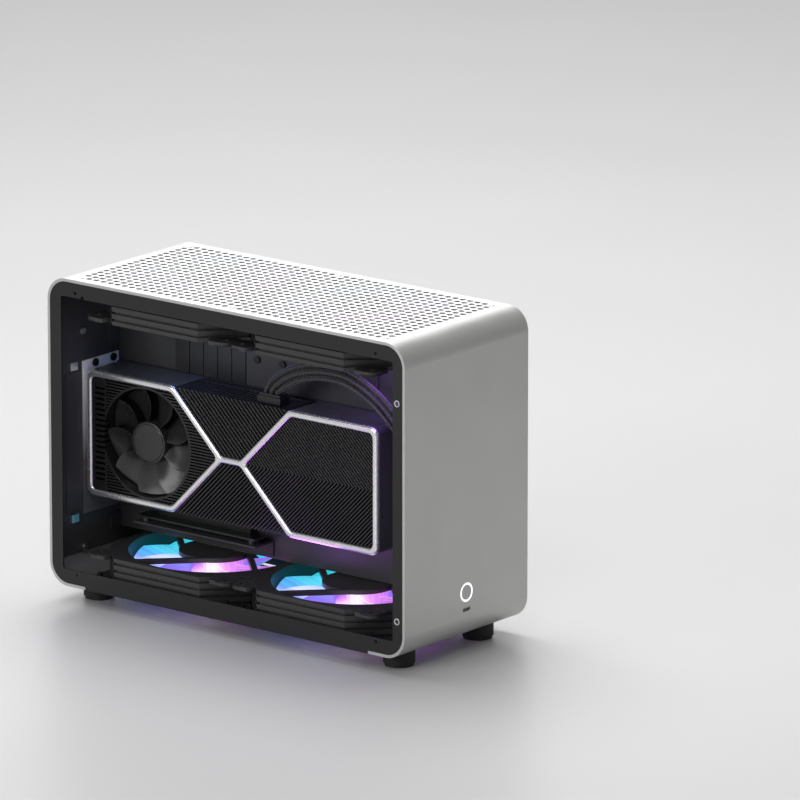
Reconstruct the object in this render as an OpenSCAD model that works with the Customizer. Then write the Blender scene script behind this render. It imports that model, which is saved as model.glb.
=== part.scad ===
// Mini-ITX computer case with an open side, a long graphics card and four large fans.
// Millimetres, +Z up. The front panel faces -Y and the open side faces -X.
// The origin is on the floor, under the middle of the case.

/* [Case] */
// Length of the case from front to rear
case_length = 346; // [346:1:440]
// Width of the case across both sides
case_width = 147; // [147:1:180]
// Height of the case without its feet
case_height = 241; // [241:1:300]
// Thickness of the bent aluminium shell
shell_wall = 2.3; // [1.5:0.1:3]
// Outer radius of the shell's bent corners
corner_radius = 18; // [10:1:24]
// Length of the shell's turned-in lips under the case
lip_length = 35; // [30:1:60]
// Thickness of the steel sheet inside
sheet = 1.2; // [0.8:0.1:1.4]

/* [Feet] */
// Height of each foot
foot_height = 12.5; // [6:0.5:25]
// Diameter of each foot
foot_diameter = 24; // [16:1:30]
// Distance from a foot's centre to both faces of the case
foot_inset = 26.5; // [20:0.5:30]

/* [Perforation] */
// Diameter of the round holes in the top
hole_diameter = 4.8; // [3:0.1:5.8]
// Distance between hole centres
hole_pitch = 7; // [6.5:0.5:12]
// Plain border along the sides of the hole field
hole_side_border = 10.5; // [9:0.5:20]
// Plain border at the ends of the hole field
hole_end_border = 26; // [22:1:50]

/* [Side frames] */
// Width of the frame's top strip
frame_top = 13.7; // [10:0.1:16]
// Width of the frame's bottom strip
frame_bottom = 13.6; // [10:0.1:16]
// Width of the frame's rear strip
frame_rear = 13.2; // [10:0.1:20]
// Width of the frame's front strip
frame_front = 11.5; // [9:0.1:14]
// Thickness of the removable side panel
panel_thickness = 2; // [1.5:0.1:3]
// Gap all round the removable side panel
panel_gap = 0.5; // [0.3:0.1:1]

/* [Fans] */
// Width of a square fan frame
fan_size = 140; // [116:1:140]
// Depth of a fan frame
fan_depth = 25; // [22:1:30]
// Distance from a fan's edge to its screw holes
fan_hole_inset = 7.75; // [7:0.05:8.5]
// Width of the cut corners of a fan's waist
fan_waist_cut = 28; // [20:1:32]
// Thickness of a fan's end flanges and ribs
fan_rib = 3; // [2:0.1:3.5]
// Radius of a fan's rotor hub
fan_hub_radius = 22; // [18:1:26]
// Number of blades on each fan
fan_blades = 9; // [5:1:11]
// Running gap between blade tips and the frame
tip_gap = 1.2; // [0.8:0.1:2]

/* [Graphics card] */
// Length of the graphics card
card_length = 285; // [285:1:300]
// Height of the graphics card
card_height = 99.3; // [90:0.1:120]
// Thickness of the graphics card without its slot bracket
card_thickness = 38.5; // [36:0.1:39]
// Depth of the card's front below the open side
card_setback = 37; // [30:0.5:40]
// Height of the card above the lower fans
card_lift = 33.8; // [28:0.1:40]
// Width of the card's bright trim bar
trim_width = 5.5; // [4:0.1:8]
// Length of the trim's middle bar
trim_waist = 13; // [10:1:40]
// Pitch of the card's cooling fins
fin_pitch = 2.4; // [2:0.1:4]
// Radius of the card's fan opening
card_fan_radius = 42.3; // [36:0.1:43]
// Radius of the card fan's hub
card_hub_radius = 16.4; // [12:0.1:20]

/* [Power supply and board] */
// Depth of the divider behind the open side
divider_depth = 78.5; // [78.5:0.5:84]
// Width of the power supply
supply_width = 125; // [110:1:130]
// Depth of the power supply
supply_depth = 100; // [90:1:110]
// Thickness of the power supply
supply_height = 63.5; // [55:0.5:63.5]
// Edge length of the square main board
board_size = 170; // [170:1:170]
// Height of the standoffs under the main board
standoff_height = 6.3; // [5:0.1:8]

/* [Front controls] */
// Height of the power button above the bottom of the case
button_height = 37.4; // [34:0.1:60]
// Radius of the power button's cap
button_radius = 5.7; // [4:0.1:7]
// Width of the lit ring round the button
ring_width = 1.3; // [1:0.1:2.5]
// Travel of the power button
button_travel = 1; // [0.5:0.1:1.2]
// Distance from the button's centre down to the port
port_drop = 13.2; // [12:0.1:18]

/* [Hidden] */

round_sides = 64;
small_sides = 24;
fit_gap = 0.3;
tiny_gap = 0.1;
through = 1;

half_l = case_length / 2;
half_w = case_width / 2;
inner_y = half_l - shell_wall;
inner_top = case_height - shell_wall;
rear_y = inner_y - sheet;
near_x = -half_w;
near_sheet_x = near_x + sheet;
far_sheet_x = half_w - panel_thickness - sheet;
floor_z = shell_wall + sheet;
lip_y = half_l - lip_length;

boss_height = 1.5;
top_sheet_z = inner_top - boss_height - sheet;
low_fan_top = floor_z + fan_depth;
high_fan_z = top_sheet_z - fan_depth;
fan_gap = 0.4;
fan_y = (fan_size + fan_gap) / 2;
fan_half = fan_size / 2;
fan_hole = fan_half - fan_hole_inset;
fan_hole_radius = 2.2;
fan_bore = fan_half - 3.5;
motor_radius = 28;
motor_thickness = 3.5;
fan_shaft_radius = 2;
rotor_floor = 2;
blade_zone = fan_depth - motor_thickness - rotor_floor - 1.5;
fan_places = [[fan_y * -1, floor_z], [fan_y, floor_z], [fan_y * -1, high_fan_z], [fan_y, high_fan_z]];

hole_columns = floor((half_w - hole_side_border) / hole_pitch + 0.001);
hole_rows = floor((half_l - hole_end_border) / hole_pitch + 0.001);
top_screw_radius = 1.5;

divider_x = near_x + divider_depth;
divider_far_x = divider_x + sheet;
divider_z = [low_fan_top + 0.5, high_fan_z - 0.5];

card_x = near_x + card_setback;
card_back_x = card_x + card_thickness;
card_rear = rear_y - 1.5;
card_front = card_rear - card_length;
card_z = low_fan_top + card_lift;
card_top = card_z + card_height;
card_mid_z = card_z + card_height / 2;
wing_length = (card_length - card_height - trim_waist) / 2;
trim_depth = 3;
shroud_wall = 1.8;
card_fan_y = card_rear - 59;
board_plane_x = card_back_x - 4;
board_relief = 1.8;
socket_y = card_rear - 175.5;
socket_x = card_x + 12;

board_x = divider_far_x + standoff_height;
board_thickness = 1.6;
board_rear = rear_y - 2.5;
board_z = low_fan_top + 3.5;
slot_mid_y = card_rear - 91.3;
ribbon_count = 5;
ribbon_width = 13.2;
ribbon_gap = 0.7;
ribbon_pitch = ribbon_width + ribbon_gap;
ribbon_thickness = 1.2;
ribbon_x = (card_back_x + divider_x) / 2;
ribbon_span = ribbon_count * ribbon_pitch - ribbon_gap;
riser_board_z = card_z - 15.8;
plug_z = board_z + board_size - 13;

supply_front = -inner_y + 38.7;
supply_rear = supply_front + supply_depth;
supply_x = divider_far_x + fit_gap;
supply_z = low_fan_top + 28.5;

button_clear = 0.25;
ring_radius = button_radius + ring_width + button_clear;
button_outer_y = -half_l;
io_board_y = -inner_y + 12;

// Small building helpers

module on_feet() {
    translate([0, 0, foot_height]) children();
}

// A drawing in (y, z), raised along +X from x0
module along_x(x0, length) {
    translate([x0, 0, 0]) rotate([90, 0, 90]) linear_extrude(length) children();
}

// A drawing in (x, z), raised along +Y from y0
module along_y(y0, length) {
    translate([0, y0 + length, 0]) rotate([90, 0, 0]) linear_extrude(length) children();
}

// A box from its lowest and highest corners
module block(low, high) {
    translate(low) cube(high - low);
}

// A rod along X, Y or Z
module rod_x(x0, x1, y, z, radius, sides = small_sides) {
    translate([x0, y, z]) rotate([0, 90, 0]) cylinder(r = radius, h = x1 - x0, $fn = sides);
}

module rod_y(y0, y1, x, z, radius, sides = small_sides) {
    translate([x, y1, z]) rotate([90, 0, 0]) cylinder(r = radius, h = y1 - y0, $fn = sides);
}

module rod_z(z0, z1, x, y, radius, sides = small_sides) {
    translate([x, y, z0]) cylinder(r = radius, h = z1 - z0, $fn = sides);
}

// A rectangle with true round corners
module soft_rect(low, high, radius) {
    translate([low.x + radius, low.y]) square([high.x - low.x - 2 * radius, high.y - low.y]);
    translate([low.x, low.y + radius]) square([high.x - low.x, high.y - low.y - 2 * radius]);
    for (x = [low.x + radius, high.x - radius], y = [low.y + radius, high.y - radius])
        translate([x, y]) circle(r = radius, $fn = round_sides);
}

// A square with its corners cut off straight
module cut_square(half, cut) {
    polygon([[-half, -half + cut], [-half + cut, -half], [half - cut, -half], [half, -half + cut],
        [half, half - cut], [half - cut, half], [-half + cut, half], [-half, half - cut]]);
}

// The outline of the case's side, moved inwards by inset
module case_outline(inset) {
    soft_rect([-half_l + inset, inset], [half_l - inset, case_height - inset], corner_radius - inset);
}

// Points of a closed outline with its corners rounded, one radius a corner
function unit(v) = v / norm(v);
function round_corner(before, here, after, radius, steps) =
    let (a = unit(before - here), b = unit(after - here), half = acos(a * b) / 2,
        centre = here + unit(a + b) * radius / sin(half),
        first = here + a * radius / tan(half) - centre,
        last = here + b * radius / tan(half) - centre,
        start = atan2(first.y, first.x),
        raw = atan2(last.y, last.x) - start,
        turn = raw > 180 ? raw - 360 : raw < -180 ? raw + 360 : raw)
    [for (i = [0:steps]) centre + radius * [cos(start + turn * i / steps), sin(start + turn * i / steps)]];
function round_outline(points, radii, steps = 5) =
    let (n = len(points))
    [for (i = [0:n - 1])
        each round_corner(points[(i + n - 1) % n], points[i], points[(i + 1) % n], radii[i], steps)];

// Both sides of a bent strip that follows a path, as one closed outline
function side_step(path, i, half) =
    let (last = len(path) - 1,
        before = unit(path[max(i, 1)] - path[max(i, 1) - 1]),
        after = unit(path[min(i, last - 1) + 1] - path[min(i, last - 1)]),
        middle = unit(before + after))
    path[i] + [-middle.y, middle.x] * half / (middle * before);
function strip_outline(path, width) =
    concat([for (i = [0:len(path) - 1]) side_step(path, i, width / 2)],
        [for (i = [len(path) - 1:-1:0]) side_step(path, i, -width / 2)]);

// A tube swept along points, with flat ends
function ring_at(path, i, radius, sides) =
    let (last = len(path) - 1,
        ahead = unit(path[min(i + 1, last)] - path[max(i - 1, 0)]),
        across = unit(cross(ahead, [0.2, 0.1, 1])),
        over = cross(across, ahead))
    [for (k = [0:sides - 1])
        path[i] + radius * (across * cos(360 * k / sides) + over * sin(360 * k / sides))];
module tube(path, radius, sides) {
    rings = len(path);
    points = [for (i = [0:rings - 1]) each ring_at(path, i, radius, sides)];
    walls = [for (i = [0:rings - 2], k = [0:sides - 1])
        [i * sides + k, i * sides + (k + 1) % sides, (i + 1) * sides + (k + 1) % sides, (i + 1) * sides + k]];
    polyhedron(points, concat([[for (k = [sides - 1:-1:0]) k]], walls,
        [[for (k = [0:sides - 1]) (rings - 1) * sides + k]]));
}

// A point on the smooth curve through a list of points
function curve_point(p, t) =
    let (last = len(p) - 1, i = min(floor(t), last - 1), u = t - i,
        a = p[max(i - 1, 0)], b = p[i], c = p[i + 1], d = p[min(i + 2, last)])
    0.5 * (2 * b + (c - a) * u + (2 * a - 5 * b + 4 * c - d) * u * u + (3 * b - a - 3 * c + d) * u * u * u);
function curve(p, steps) = [for (i = [0:steps]) curve_point(p, (len(p) - 1) * i / steps)];

// Shell and frames

// Rear windows of the shell: card slots, main board ports and power inlet, as (x, z) corners
slot_window = [[near_x + 12, card_z - 20], [divider_x - 1, card_top + 12]];
port_window = [[board_x - 3, board_z + 4.8], [board_x + 43.2, board_z + 165.2]];
inlet_x = board_x + 26;
inlet_z = board_z + board_size + 8;
inlet_window = [[inlet_x - 17, inlet_z - 11.5], [inlet_x + 17, inlet_z + 11.5]];

rear_screw_places = [[near_x + 36, case_height - 50], [near_x + 36, 21],
    [far_sheet_x - 5.5, case_height - 50], [far_sheet_x - 5.5, 21]];

function is_screw_place(i, j) = abs(i) == hole_columns && (j == 0 || abs(j) == hole_rows);

module outer_shell() {
    color("silver") on_feet() difference() {
        along_x(near_x, case_width) difference() {
            case_outline(0);
            case_outline(shell_wall);
            translate([-lip_y, -through]) square([2 * lip_y, shell_wall + 2 * through]);
        }
        for (i = [-hole_columns:hole_columns], j = [-hole_rows:hole_rows])
            if (!is_screw_place(i, j))
                rod_z(inner_top - through, case_height + through, i * hole_pitch, j * hole_pitch,
                    hole_diameter / 2);
        for (i = [-1, 1], j = [-1, 0, 1])
            rod_z(inner_top - through, case_height + through, i * hole_columns * hole_pitch,
                j * hole_rows * hole_pitch, top_screw_radius + tiny_gap);
        for (window = [slot_window, port_window, inlet_window])
            along_y(rear_y, half_l) soft_rect(window[0], window[1], 4);
        for (place = rear_screw_places)
            rod_y(rear_y, inner_y + 1.3, place.x, place.y, 1.6);
        rod_y(-half_l - through, -inner_y + through, 0, button_height, ring_radius + tiny_gap, round_sides);
        along_y(-half_l - through, shell_wall + 2 * through)
            soft_rect([-4.5, button_height - port_drop - 1.4], [4.5, button_height - port_drop + 1.4], 1.3);
    }
}

module frame_plate(x0) {
    along_x(x0, sheet) difference() {
        union() {
            case_outline(shell_wall + tiny_gap);
            translate([-lip_y + fit_gap, 0]) square([2 * (lip_y - fit_gap), corner_radius]);
        }
        soft_rect([-half_l + frame_front, frame_bottom], [half_l - frame_rear, case_height - frame_top], 2);
        for (y = [-1, 1], z = [10.7, case_height - 10])
            translate([y * (half_l - 27.5), z]) circle(r = 1.3, $fn = small_sides);
        translate([half_l - 36, case_height - frame_top - through]) square([3, 3.2]);
    }
}

// Skirt strips that lie on the shell's inner faces, from x0 to x1
module frame_skirt(x0, x1) {
    reach = half_l - corner_radius - 4;
    block([x0, -reach, inner_top - sheet], [x1, reach, inner_top]);
    for (side = [[-inner_y, -inner_y + sheet], [inner_y - sheet, inner_y]])
        block([x0, side[0], corner_radius + 34], [x1, side[1], case_height - corner_radius - 4]);
}

skirt_depth = 3.9;
socket_places = [[-half_l + 7.6, 29.5], [-half_l + 7.6, 196]];
far_socket_places = [[-half_l + 7.6, 29.5], [-half_l + 7.6, 196], [half_l - 7.6, 29.5], [half_l - 7.6, 196]];
socket_radius = 2.6;
stud_radius = 1.5;

module side_frame_left() {
    color([0.19, 0.19, 0.19]) on_feet() difference() {
        union() {
            frame_plate(near_x);
            intersection() {
                frame_skirt(near_sheet_x, near_sheet_x + skirt_depth);
                block([near_x, -half_l, 0], [0, rear_y - fit_gap, case_height]);
            }
        }
        for (place = socket_places)
            rod_x(near_x - through, near_sheet_x + through, place.x, place.y, socket_radius + tiny_gap);
    }
}

module side_frame_right() {
    color([0.19, 0.19, 0.19]) on_feet() difference() {
        union() {
            frame_plate(far_sheet_x);
            intersection() {
                frame_skirt(far_sheet_x - skirt_depth, far_sheet_x);
                block([0, -half_l, 0], [half_w, rear_y - fit_gap, case_height]);
            }
        }
        for (place = far_socket_places)
            rod_x(far_sheet_x - through, far_sheet_x + sheet + through, place.x, place.y,
                socket_radius + tiny_gap);
    }
}

module socket_ring(x0, x1, place) {
    difference() {
        rod_x(x0, x1, place.x, place.y, socket_radius);
        rod_x(x0 - through, x1 + through, place.x, place.y, stud_radius + 0.2);
    }
}

module snap_sockets() {
    color("silver") on_feet() {
        for (place = socket_places)
            socket_ring(near_x, near_sheet_x + 2.5, place);
        for (place = far_socket_places)
            socket_ring(far_sheet_x - 2.5, far_sheet_x + sheet, place);
    }
}

// Vent fields of the side panel: centre (y, z), columns and rows of upright slots
vent_width = 3.2;
vent_height = 15;
vent_pitch_y = 7.5;
vent_pitch_z = 20;
vent_fields = [[(supply_front + supply_rear) / 2, supply_z + supply_width / 2, 11, 5],
    [board_rear - 77, board_z + 62, 13, 5]];

module right_side_panel() {
    color("silver") on_feet() along_x(half_w - panel_thickness, panel_thickness) difference() {
        case_outline(shell_wall + panel_gap);
        for (field = vent_fields, i = [0:field[2] - 1], k = [0:field[3] - 1]) {
            y = field[0] + (i - (field[2] - 1) / 2) * vent_pitch_y;
            z = field[1] + (k - (field[3] - 1) / 2) * vent_pitch_z;
            soft_rect([y - vent_width / 2, z - vent_height / 2], [y + vent_width / 2, z + vent_height / 2],
                vent_width / 2 - 0.01);
        }
    }
}

module panel_studs() {
    color("silver") on_feet() for (place = far_socket_places) {
        rod_x(far_sheet_x - 1.5, half_w - panel_thickness, place.x, place.y, stud_radius);
    }
}

// Rear panel, slots and inlet

card_opening = [[card_x + 2, card_z - 10], [board_plane_x + 1.5, card_top - 6]];
spare_x = card_x - 12.5;
spare_opening = [[spare_x - 6.5, card_z - 10], [spare_x + 6.5, card_top - 6]];
port_opening = [[board_x - 1.5, board_z + 6.3], [board_x + 41.7, board_z + 163.7]];
inlet_half = [13.6, 10];
slot_screw_places = [[card_x + 12, card_top + 2.6], [card_x + 33, card_top + 2.6]];

module rear_panel() {
    color([0.16, 0.16, 0.16]) on_feet()
        along_y(rear_y, sheet) difference() {
            soft_rect([near_sheet_x, corner_radius], [far_sheet_x, case_height - corner_radius], 1);
            for (opening = [card_opening, spare_opening, port_opening])
                soft_rect(opening[0], opening[1], 1);
            soft_rect([inlet_x - inlet_half.x, inlet_z - inlet_half.y],
                [inlet_x + inlet_half.x, inlet_z + inlet_half.y], 2);
            for (place = rear_screw_places)
                translate(place) circle(r = 1.6, $fn = small_sides);
            for (place = slot_screw_places)
                translate(place) circle(r = 1.6, $fn = small_sides);
        }
}

module pan_screw_y(x, z, face_y, length, head_radius) {
    rod_y(face_y - 1.6, face_y, x, z, head_radius);
    rod_y(face_y - 0.01, face_y + length, x, z, top_screw_radius);
}

module rear_screws() {
    color("white") on_feet() for (place = rear_screw_places)
        pan_screw_y(place.x, place.y, rear_y, 2.2, 2.6);
}

module slot_cover() {
    color([0.14, 0.14, 0.14]) on_feet() {
        along_y(rear_y - 0.8, 0.8)
            soft_rect([spare_x - 9.2, card_z - 11.9], [spare_x + 9.2, card_top - 0.7], 2);
        block([spare_x - 5, rear_y - 4.8, card_z - 11.9], [spare_x + 5, rear_y - 0.79, card_z - 11.1]);
    }
}

module slot_clips() {
    color("silver") on_feet() for (z = [card_z - 19.5, card_top + 0.7])
        block([spare_x - 4, rear_y - 1.6, z], [spare_x + 4, rear_y, z + 6.5]);
}

module power_inlet() {
    color([0.1, 0.1, 0.1]) on_feet() {
        difference() {
            union() {
                along_y(inner_y + tiny_gap, 1.6)
                    soft_rect([inlet_x - 16, inlet_z - 11], [inlet_x + 16, inlet_z + 11], 3);
                along_y(rear_y - 20, 20 + sheet + 2 * tiny_gap)
                    soft_rect([inlet_x - inlet_half.x + 0.2, inlet_z - inlet_half.y + 0.2],
                        [inlet_x + inlet_half.x - 0.2, inlet_z + inlet_half.y - 0.2], 1.8);
            }
            along_y(rear_y - 15, 20)
                polygon([[inlet_x - 12, inlet_z - 8], [inlet_x + 12, inlet_z - 8],
                    [inlet_x + 12, inlet_z + 3.5], [inlet_x + 7.5, inlet_z + 8],
                    [inlet_x - 7.5, inlet_z + 8], [inlet_x - 12, inlet_z + 3.5]]);
        }
        for (pin = [[-7, -1.5], [0, 2.5], [7, -1.5]])
            block([inlet_x + pin.x - 1, rear_y - 15.01, inlet_z + pin.y - 2],
                [inlet_x + pin.x + 1, rear_y + 0.5, inlet_z + pin.y + 2]);
    }
}

// Bottom, top bracket and feet

module fan_grille(centre_y, z0) {
    ring_step = 11;
    translate([0, centre_y, z0]) {
        difference() {
            cylinder(r = fan_bore, h = sheet + 2 * through, $fn = round_sides);
            for (k = [1:floor((fan_bore - 6) / ring_step)])
                difference() {
                    translate([0, 0, -through]) cylinder(r = k * ring_step + 1.5, h = sheet + 4 * through,
                        $fn = round_sides);
                    translate([0, 0, -2 * through]) cylinder(r = k * ring_step - 1, h = sheet + 6 * through,
                        $fn = round_sides);
                }
            for (turn = [45, 135])
                rotate(turn) translate([-fan_size, -2, -through]) cube([2 * fan_size, 4, sheet + 4 * through]);
        }
    }
}

module bottom_panel() {
    color([0.13, 0.13, 0.13]) on_feet() difference() {
        block([near_sheet_x, -inner_y + corner_radius, shell_wall],
            [far_sheet_x, inner_y - corner_radius, floor_z]);
        for (y = [-fan_y, fan_y]) {
            fan_grille(y, shell_wall - through);
            for (i = [-1, 1], j = [-1, 1])
                rod_z(shell_wall - through, floor_z + through, i * fan_hole, y + j * fan_hole, fan_hole_radius);
        }
    }
}

module top_fan_bracket() {
    color([0.13, 0.13, 0.13]) on_feet() difference() {
        union() {
            block([near_sheet_x, -inner_y + corner_radius, top_sheet_z],
                [far_sheet_x, inner_y - corner_radius, top_sheet_z + sheet]);
            for (i = [-1, 1], j = [-1, 0, 1])
                rod_z(top_sheet_z, inner_top, i * hole_columns * hole_pitch, j * hole_rows * hole_pitch, 3);
        }
        for (y = [-fan_y, fan_y]) {
            rod_z(top_sheet_z - through, inner_top, 0, y, fan_bore, round_sides);
            for (i = [-1, 1], j = [-1, 1])
                rod_z(top_sheet_z - through, inner_top, i * fan_hole, y + j * fan_hole, fan_hole_radius);
        }
        for (i = [-1, 1], j = [-1, 0, 1])
            rod_z(top_sheet_z - through, inner_top + through, i * hole_columns * hole_pitch,
                j * hole_rows * hole_pitch, top_screw_radius + tiny_gap);
    }
}

module top_screws() {
    color("white") on_feet() for (i = [-1, 1], j = [-1, 0, 1]) {
        x = i * hole_columns * hole_pitch;
        y = j * hole_rows * hole_pitch;
        rod_z(case_height, case_height + 0.4, x, y, 2.1);
        rod_z(top_sheet_z + 0.2, case_height + 0.01, x, y, top_screw_radius);
    }
}

pad_thickness = 2;

module feet() {
    color([0.06, 0.06, 0.06]) for (x = [-1, 1], y = [-1, 1])
        translate([x * (half_w - foot_inset), y * (half_l - foot_inset), pad_thickness]) difference() {
            cylinder(d = foot_diameter, h = foot_height - pad_thickness, $fn = round_sides);
            translate([0, 0, -through]) cylinder(d = 8, h = foot_height - pad_thickness - 2, $fn = round_sides);
        }
}

module foot_pads() {
    color([0.03, 0.03, 0.03]) for (x = [-1, 1], y = [-1, 1])
        translate([x * (half_w - foot_inset), y * (half_l - foot_inset), 0]) difference() {
            cylinder(d = foot_diameter - 2, h = pad_thickness, $fn = round_sides);
            translate([0, 0, -through]) cylinder(d = 8, h = pad_thickness + 2 * through, $fn = round_sides);
        }
}

// Divider and its parts

cover_y = [card_rear - 253, card_rear - 126];
divider_screw_places = [[cover_y[1] - 11, high_fan_z - 28.5], [cover_y[1] - 36, high_fan_z - 28.5]];
flange = 12;
standoff_places = [[board_rear - 6.35, board_z + board_size - 6.35], [board_rear - 6.35, board_z + 6.35],
    [board_rear - 163.83, board_z + board_size - 6.35], [board_rear - 163.83, board_z + 6.35]];

module divider_plate() {
    color([0.12, 0.12, 0.12]) on_feet() {
        difference() {
            block([divider_x, -inner_y, divider_z[0]], [divider_far_x, rear_y, divider_z[1]]);
            block([divider_x - through, slot_mid_y - ribbon_span / 2 - 1, board_z + board_size + 1],
                [divider_far_x + through, slot_mid_y + ribbon_span / 2 + 1, case_height]);
            block([divider_x - through, -half_l, 0],
                [divider_far_x + through, -inner_y + 22, button_height + 27]);
            along_x(divider_x - through, sheet + 2 * through)
                soft_rect([-inner_y + 9, supply_z + 12], [supply_front - 1, supply_z + supply_width - 16], 4);
            for (place = divider_screw_places)
                rod_x(divider_x - through, divider_far_x + through, place.x, place.y, 1.6);
        }
        block([divider_far_x, -inner_y, button_height + 27],
            [divider_far_x + flange, -inner_y + sheet, divider_z[1]]);
        block([divider_x - flange, rear_y - sheet, card_top + 12], [divider_x, rear_y, divider_z[1]]);
        block([divider_x - flange, rear_y - sheet, divider_z[0]], [divider_x, rear_y, divider_z[0] + 12]);
    }
}

module divider_cover() {
    color([0.15, 0.15, 0.15]) on_feet() difference() {
        block([divider_x - 1.5, cover_y[0], divider_z[0] + 30], [divider_x, cover_y[1], divider_z[1] - 0.5]);
        for (place = divider_screw_places)
            rod_x(divider_x - 2, divider_x + through, place.x, place.y, 1.6);
    }
}

module divider_screws() {
    color([0.3, 0.3, 0.3]) on_feet() for (place = divider_screw_places) {
        rod_x(divider_x - 3, divider_x - 1.5, place.x, place.y, 2.8);
        rod_x(divider_x - 1.51, divider_far_x + 1, place.x, place.y, 1.5);
    }
}

module standoffs() {
    color("goldenrod") on_feet() for (place = standoff_places)
        rod_x(divider_far_x, divider_far_x + standoff_height, place.x, place.y, 3, 6);
}

module motherboard() {
    face = board_x + board_thickness;
    color([0.05, 0.08, 0.06]) on_feet() difference() {
        union() {
            block([board_x, board_rear - board_size, board_z], [face, board_rear, board_z + board_size]);
            along_x(face, 11.2) difference() {
                soft_rect([slot_mid_y - 44.5, plug_z - 3.7], [slot_mid_y + 44.5, plug_z + 3.7], 0.5);
                translate([slot_mid_y - 42.5, plug_z - 0.9]) square([85, 1.8]);
            }
            block([face, board_rear - 95, board_z + 42], [face + 5, board_rear - 51, board_z + 86]);
            block([face, board_rear - 150, board_z + 40], [face + 8, board_rear - 143, board_z + 165]);
            block([face, board_rear - 161, board_z + 40], [face + 8, board_rear - 154, board_z + 165]);
            block([face, board_rear - 141, board_z + 4], [face + 11, board_rear - 131, board_z + 55]);
            block([face, board_rear - 45, board_z + 6], [face + 9, board_rear - 26, board_z + 60]);
        }
        for (place = standoff_places)
            rod_x(board_x - through, face + through, place.x, place.y, 1.9);
    }
}

// Rear ports: lowest (x, z) from the board's face and edge, then width and height
rear_ports = [[1.5, 12, 14, 15], [1.5, 33, 30, 15], [1.5, 55, 30, 15], [1.5, 77, 14, 17], [1.5, 100, 30, 15],
    [1.5, 120, 8, 15]];
rear_jacks = [[8, 147], [21, 147], [34, 147]];

module io_shield() {
    face = board_x + board_thickness;
    color([0.55, 0.55, 0.56]) on_feet() along_y(rear_y - 0.4, 0.35) difference() {
        translate(port_opening[0] - [0.6, 0.6])
            square([port_opening[1].x - port_opening[0].x + 1.2, port_opening[1].y - port_opening[0].y + 1.2]);
        for (port = rear_ports)
            translate([face + port[0] - 0.3, board_z + port[1] - 0.3]) square([port[2] + 0.6, port[3] + 0.6]);
        for (jack = rear_jacks)
            translate([face + jack[0], board_z + jack[1]]) circle(r = 4.1, $fn = small_sides);
    }
}

module io_ports() {
    face = board_x + board_thickness;
    color([0.6, 0.6, 0.62]) on_feet() {
        for (port = rear_ports)
            difference() {
                union() {
                    block([face, board_rear - 19, board_z + port[1]],
                        [face + port[0] + 1, board_rear - 1, board_z + port[1] + port[3]]);
                    block([face + port[0], board_rear - 19, board_z + port[1]],
                        [face + port[0] + port[2], rear_y + 0.6, board_z + port[1] + port[3]]);
                }
                block([face + port[0] + 1, board_rear - 10, board_z + port[1] + 1],
                    [face + port[0] + port[2] - 1, rear_y + 2, board_z + port[1] + port[3] - 1]);
            }
        difference() {
            union() {
                block([face, board_rear - 19, board_z + 141], [face + 40, rear_y - 1, board_z + 153]);
                for (jack = rear_jacks)
                    rod_y(rear_y - 1.01, rear_y + 0.6, face + jack[0], board_z + jack[1], 3.8);
            }
            for (jack = rear_jacks)
                rod_y(board_rear - 12, rear_y + 2, face + jack[0], board_z + jack[1], 1.8);
        }
    }
}

module ram_sticks() {
    face = board_x + board_thickness + 8;
    color([0.1, 0.1, 0.11]) on_feet() for (y = [board_rear - 150, board_rear - 161])
        difference() {
            union() {
                block([face, y + 2.8, board_z + 40.5], [face + 30, y + 4.2, board_z + 164.5]);
                along_x(face + 3, 28) soft_rect([y + 0.3, board_z + 41], [y + 6.7, board_z + 164], 1);
            }
            for (k = [1:7])
                block([face + 24, y - 1, board_z + 36 + k * 15], [face + 40, y + 8, board_z + 43 + k * 15]);
        }
}

cooler_y = board_rear - 73;
cooler_z = board_z + 64;
cooler_half = 44;
cooler_x = board_x + board_thickness + 5;
cooler_fan_x = cooler_x + 24;
cooler_fan_depth = 15;

module fin_bars(x0, x1, half, pitch, thickness) {
    for (k = [0:floor(2 * half / pitch)])
        block([x0, -half, -half + k * pitch], [x1, half, -half + k * pitch + thickness]);
}

module cpu_cooler() {
    color([0.3, 0.3, 0.31]) on_feet() translate([0, cooler_y, cooler_z]) {
        block([cooler_x, -20, -20], [cooler_x + 5, 20, 20]);
        block([cooler_x + 5, -cooler_half, -30], [cooler_x + 8, cooler_half, 30]);
        intersection() {
            fin_bars(cooler_x + 8, cooler_fan_x, cooler_half, 4, 1.2);
            block([cooler_x, -cooler_half, -cooler_half], [cooler_fan_x, cooler_half, cooler_half]);
        }
        for (y = [-30, 30])
            block([cooler_x + 8, y - 1.5, -cooler_half], [cooler_fan_x, y + 1.5, cooler_half]);
        along_x(cooler_fan_x, cooler_fan_depth) difference() {
            soft_rect([-46, -46], [46, 46], 5);
            circle(r = 43, $fn = round_sides);
            for (y = [-41.25, 41.25], z = [-41.25, 41.25])
                translate([y, z]) circle(r = 2.1, $fn = small_sides);
        }
        block([cooler_fan_x, -46, -2], [cooler_fan_x + 2, 46, 2]);
        block([cooler_fan_x, -2, -46], [cooler_fan_x + 2, 2, 46]);
        rod_x(cooler_fan_x, cooler_fan_x + 2, 0, 0, 17, round_sides);
        rod_x(cooler_fan_x + 1.9, cooler_fan_x + 13, 0, 0, 1.5);
    }
}

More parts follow.
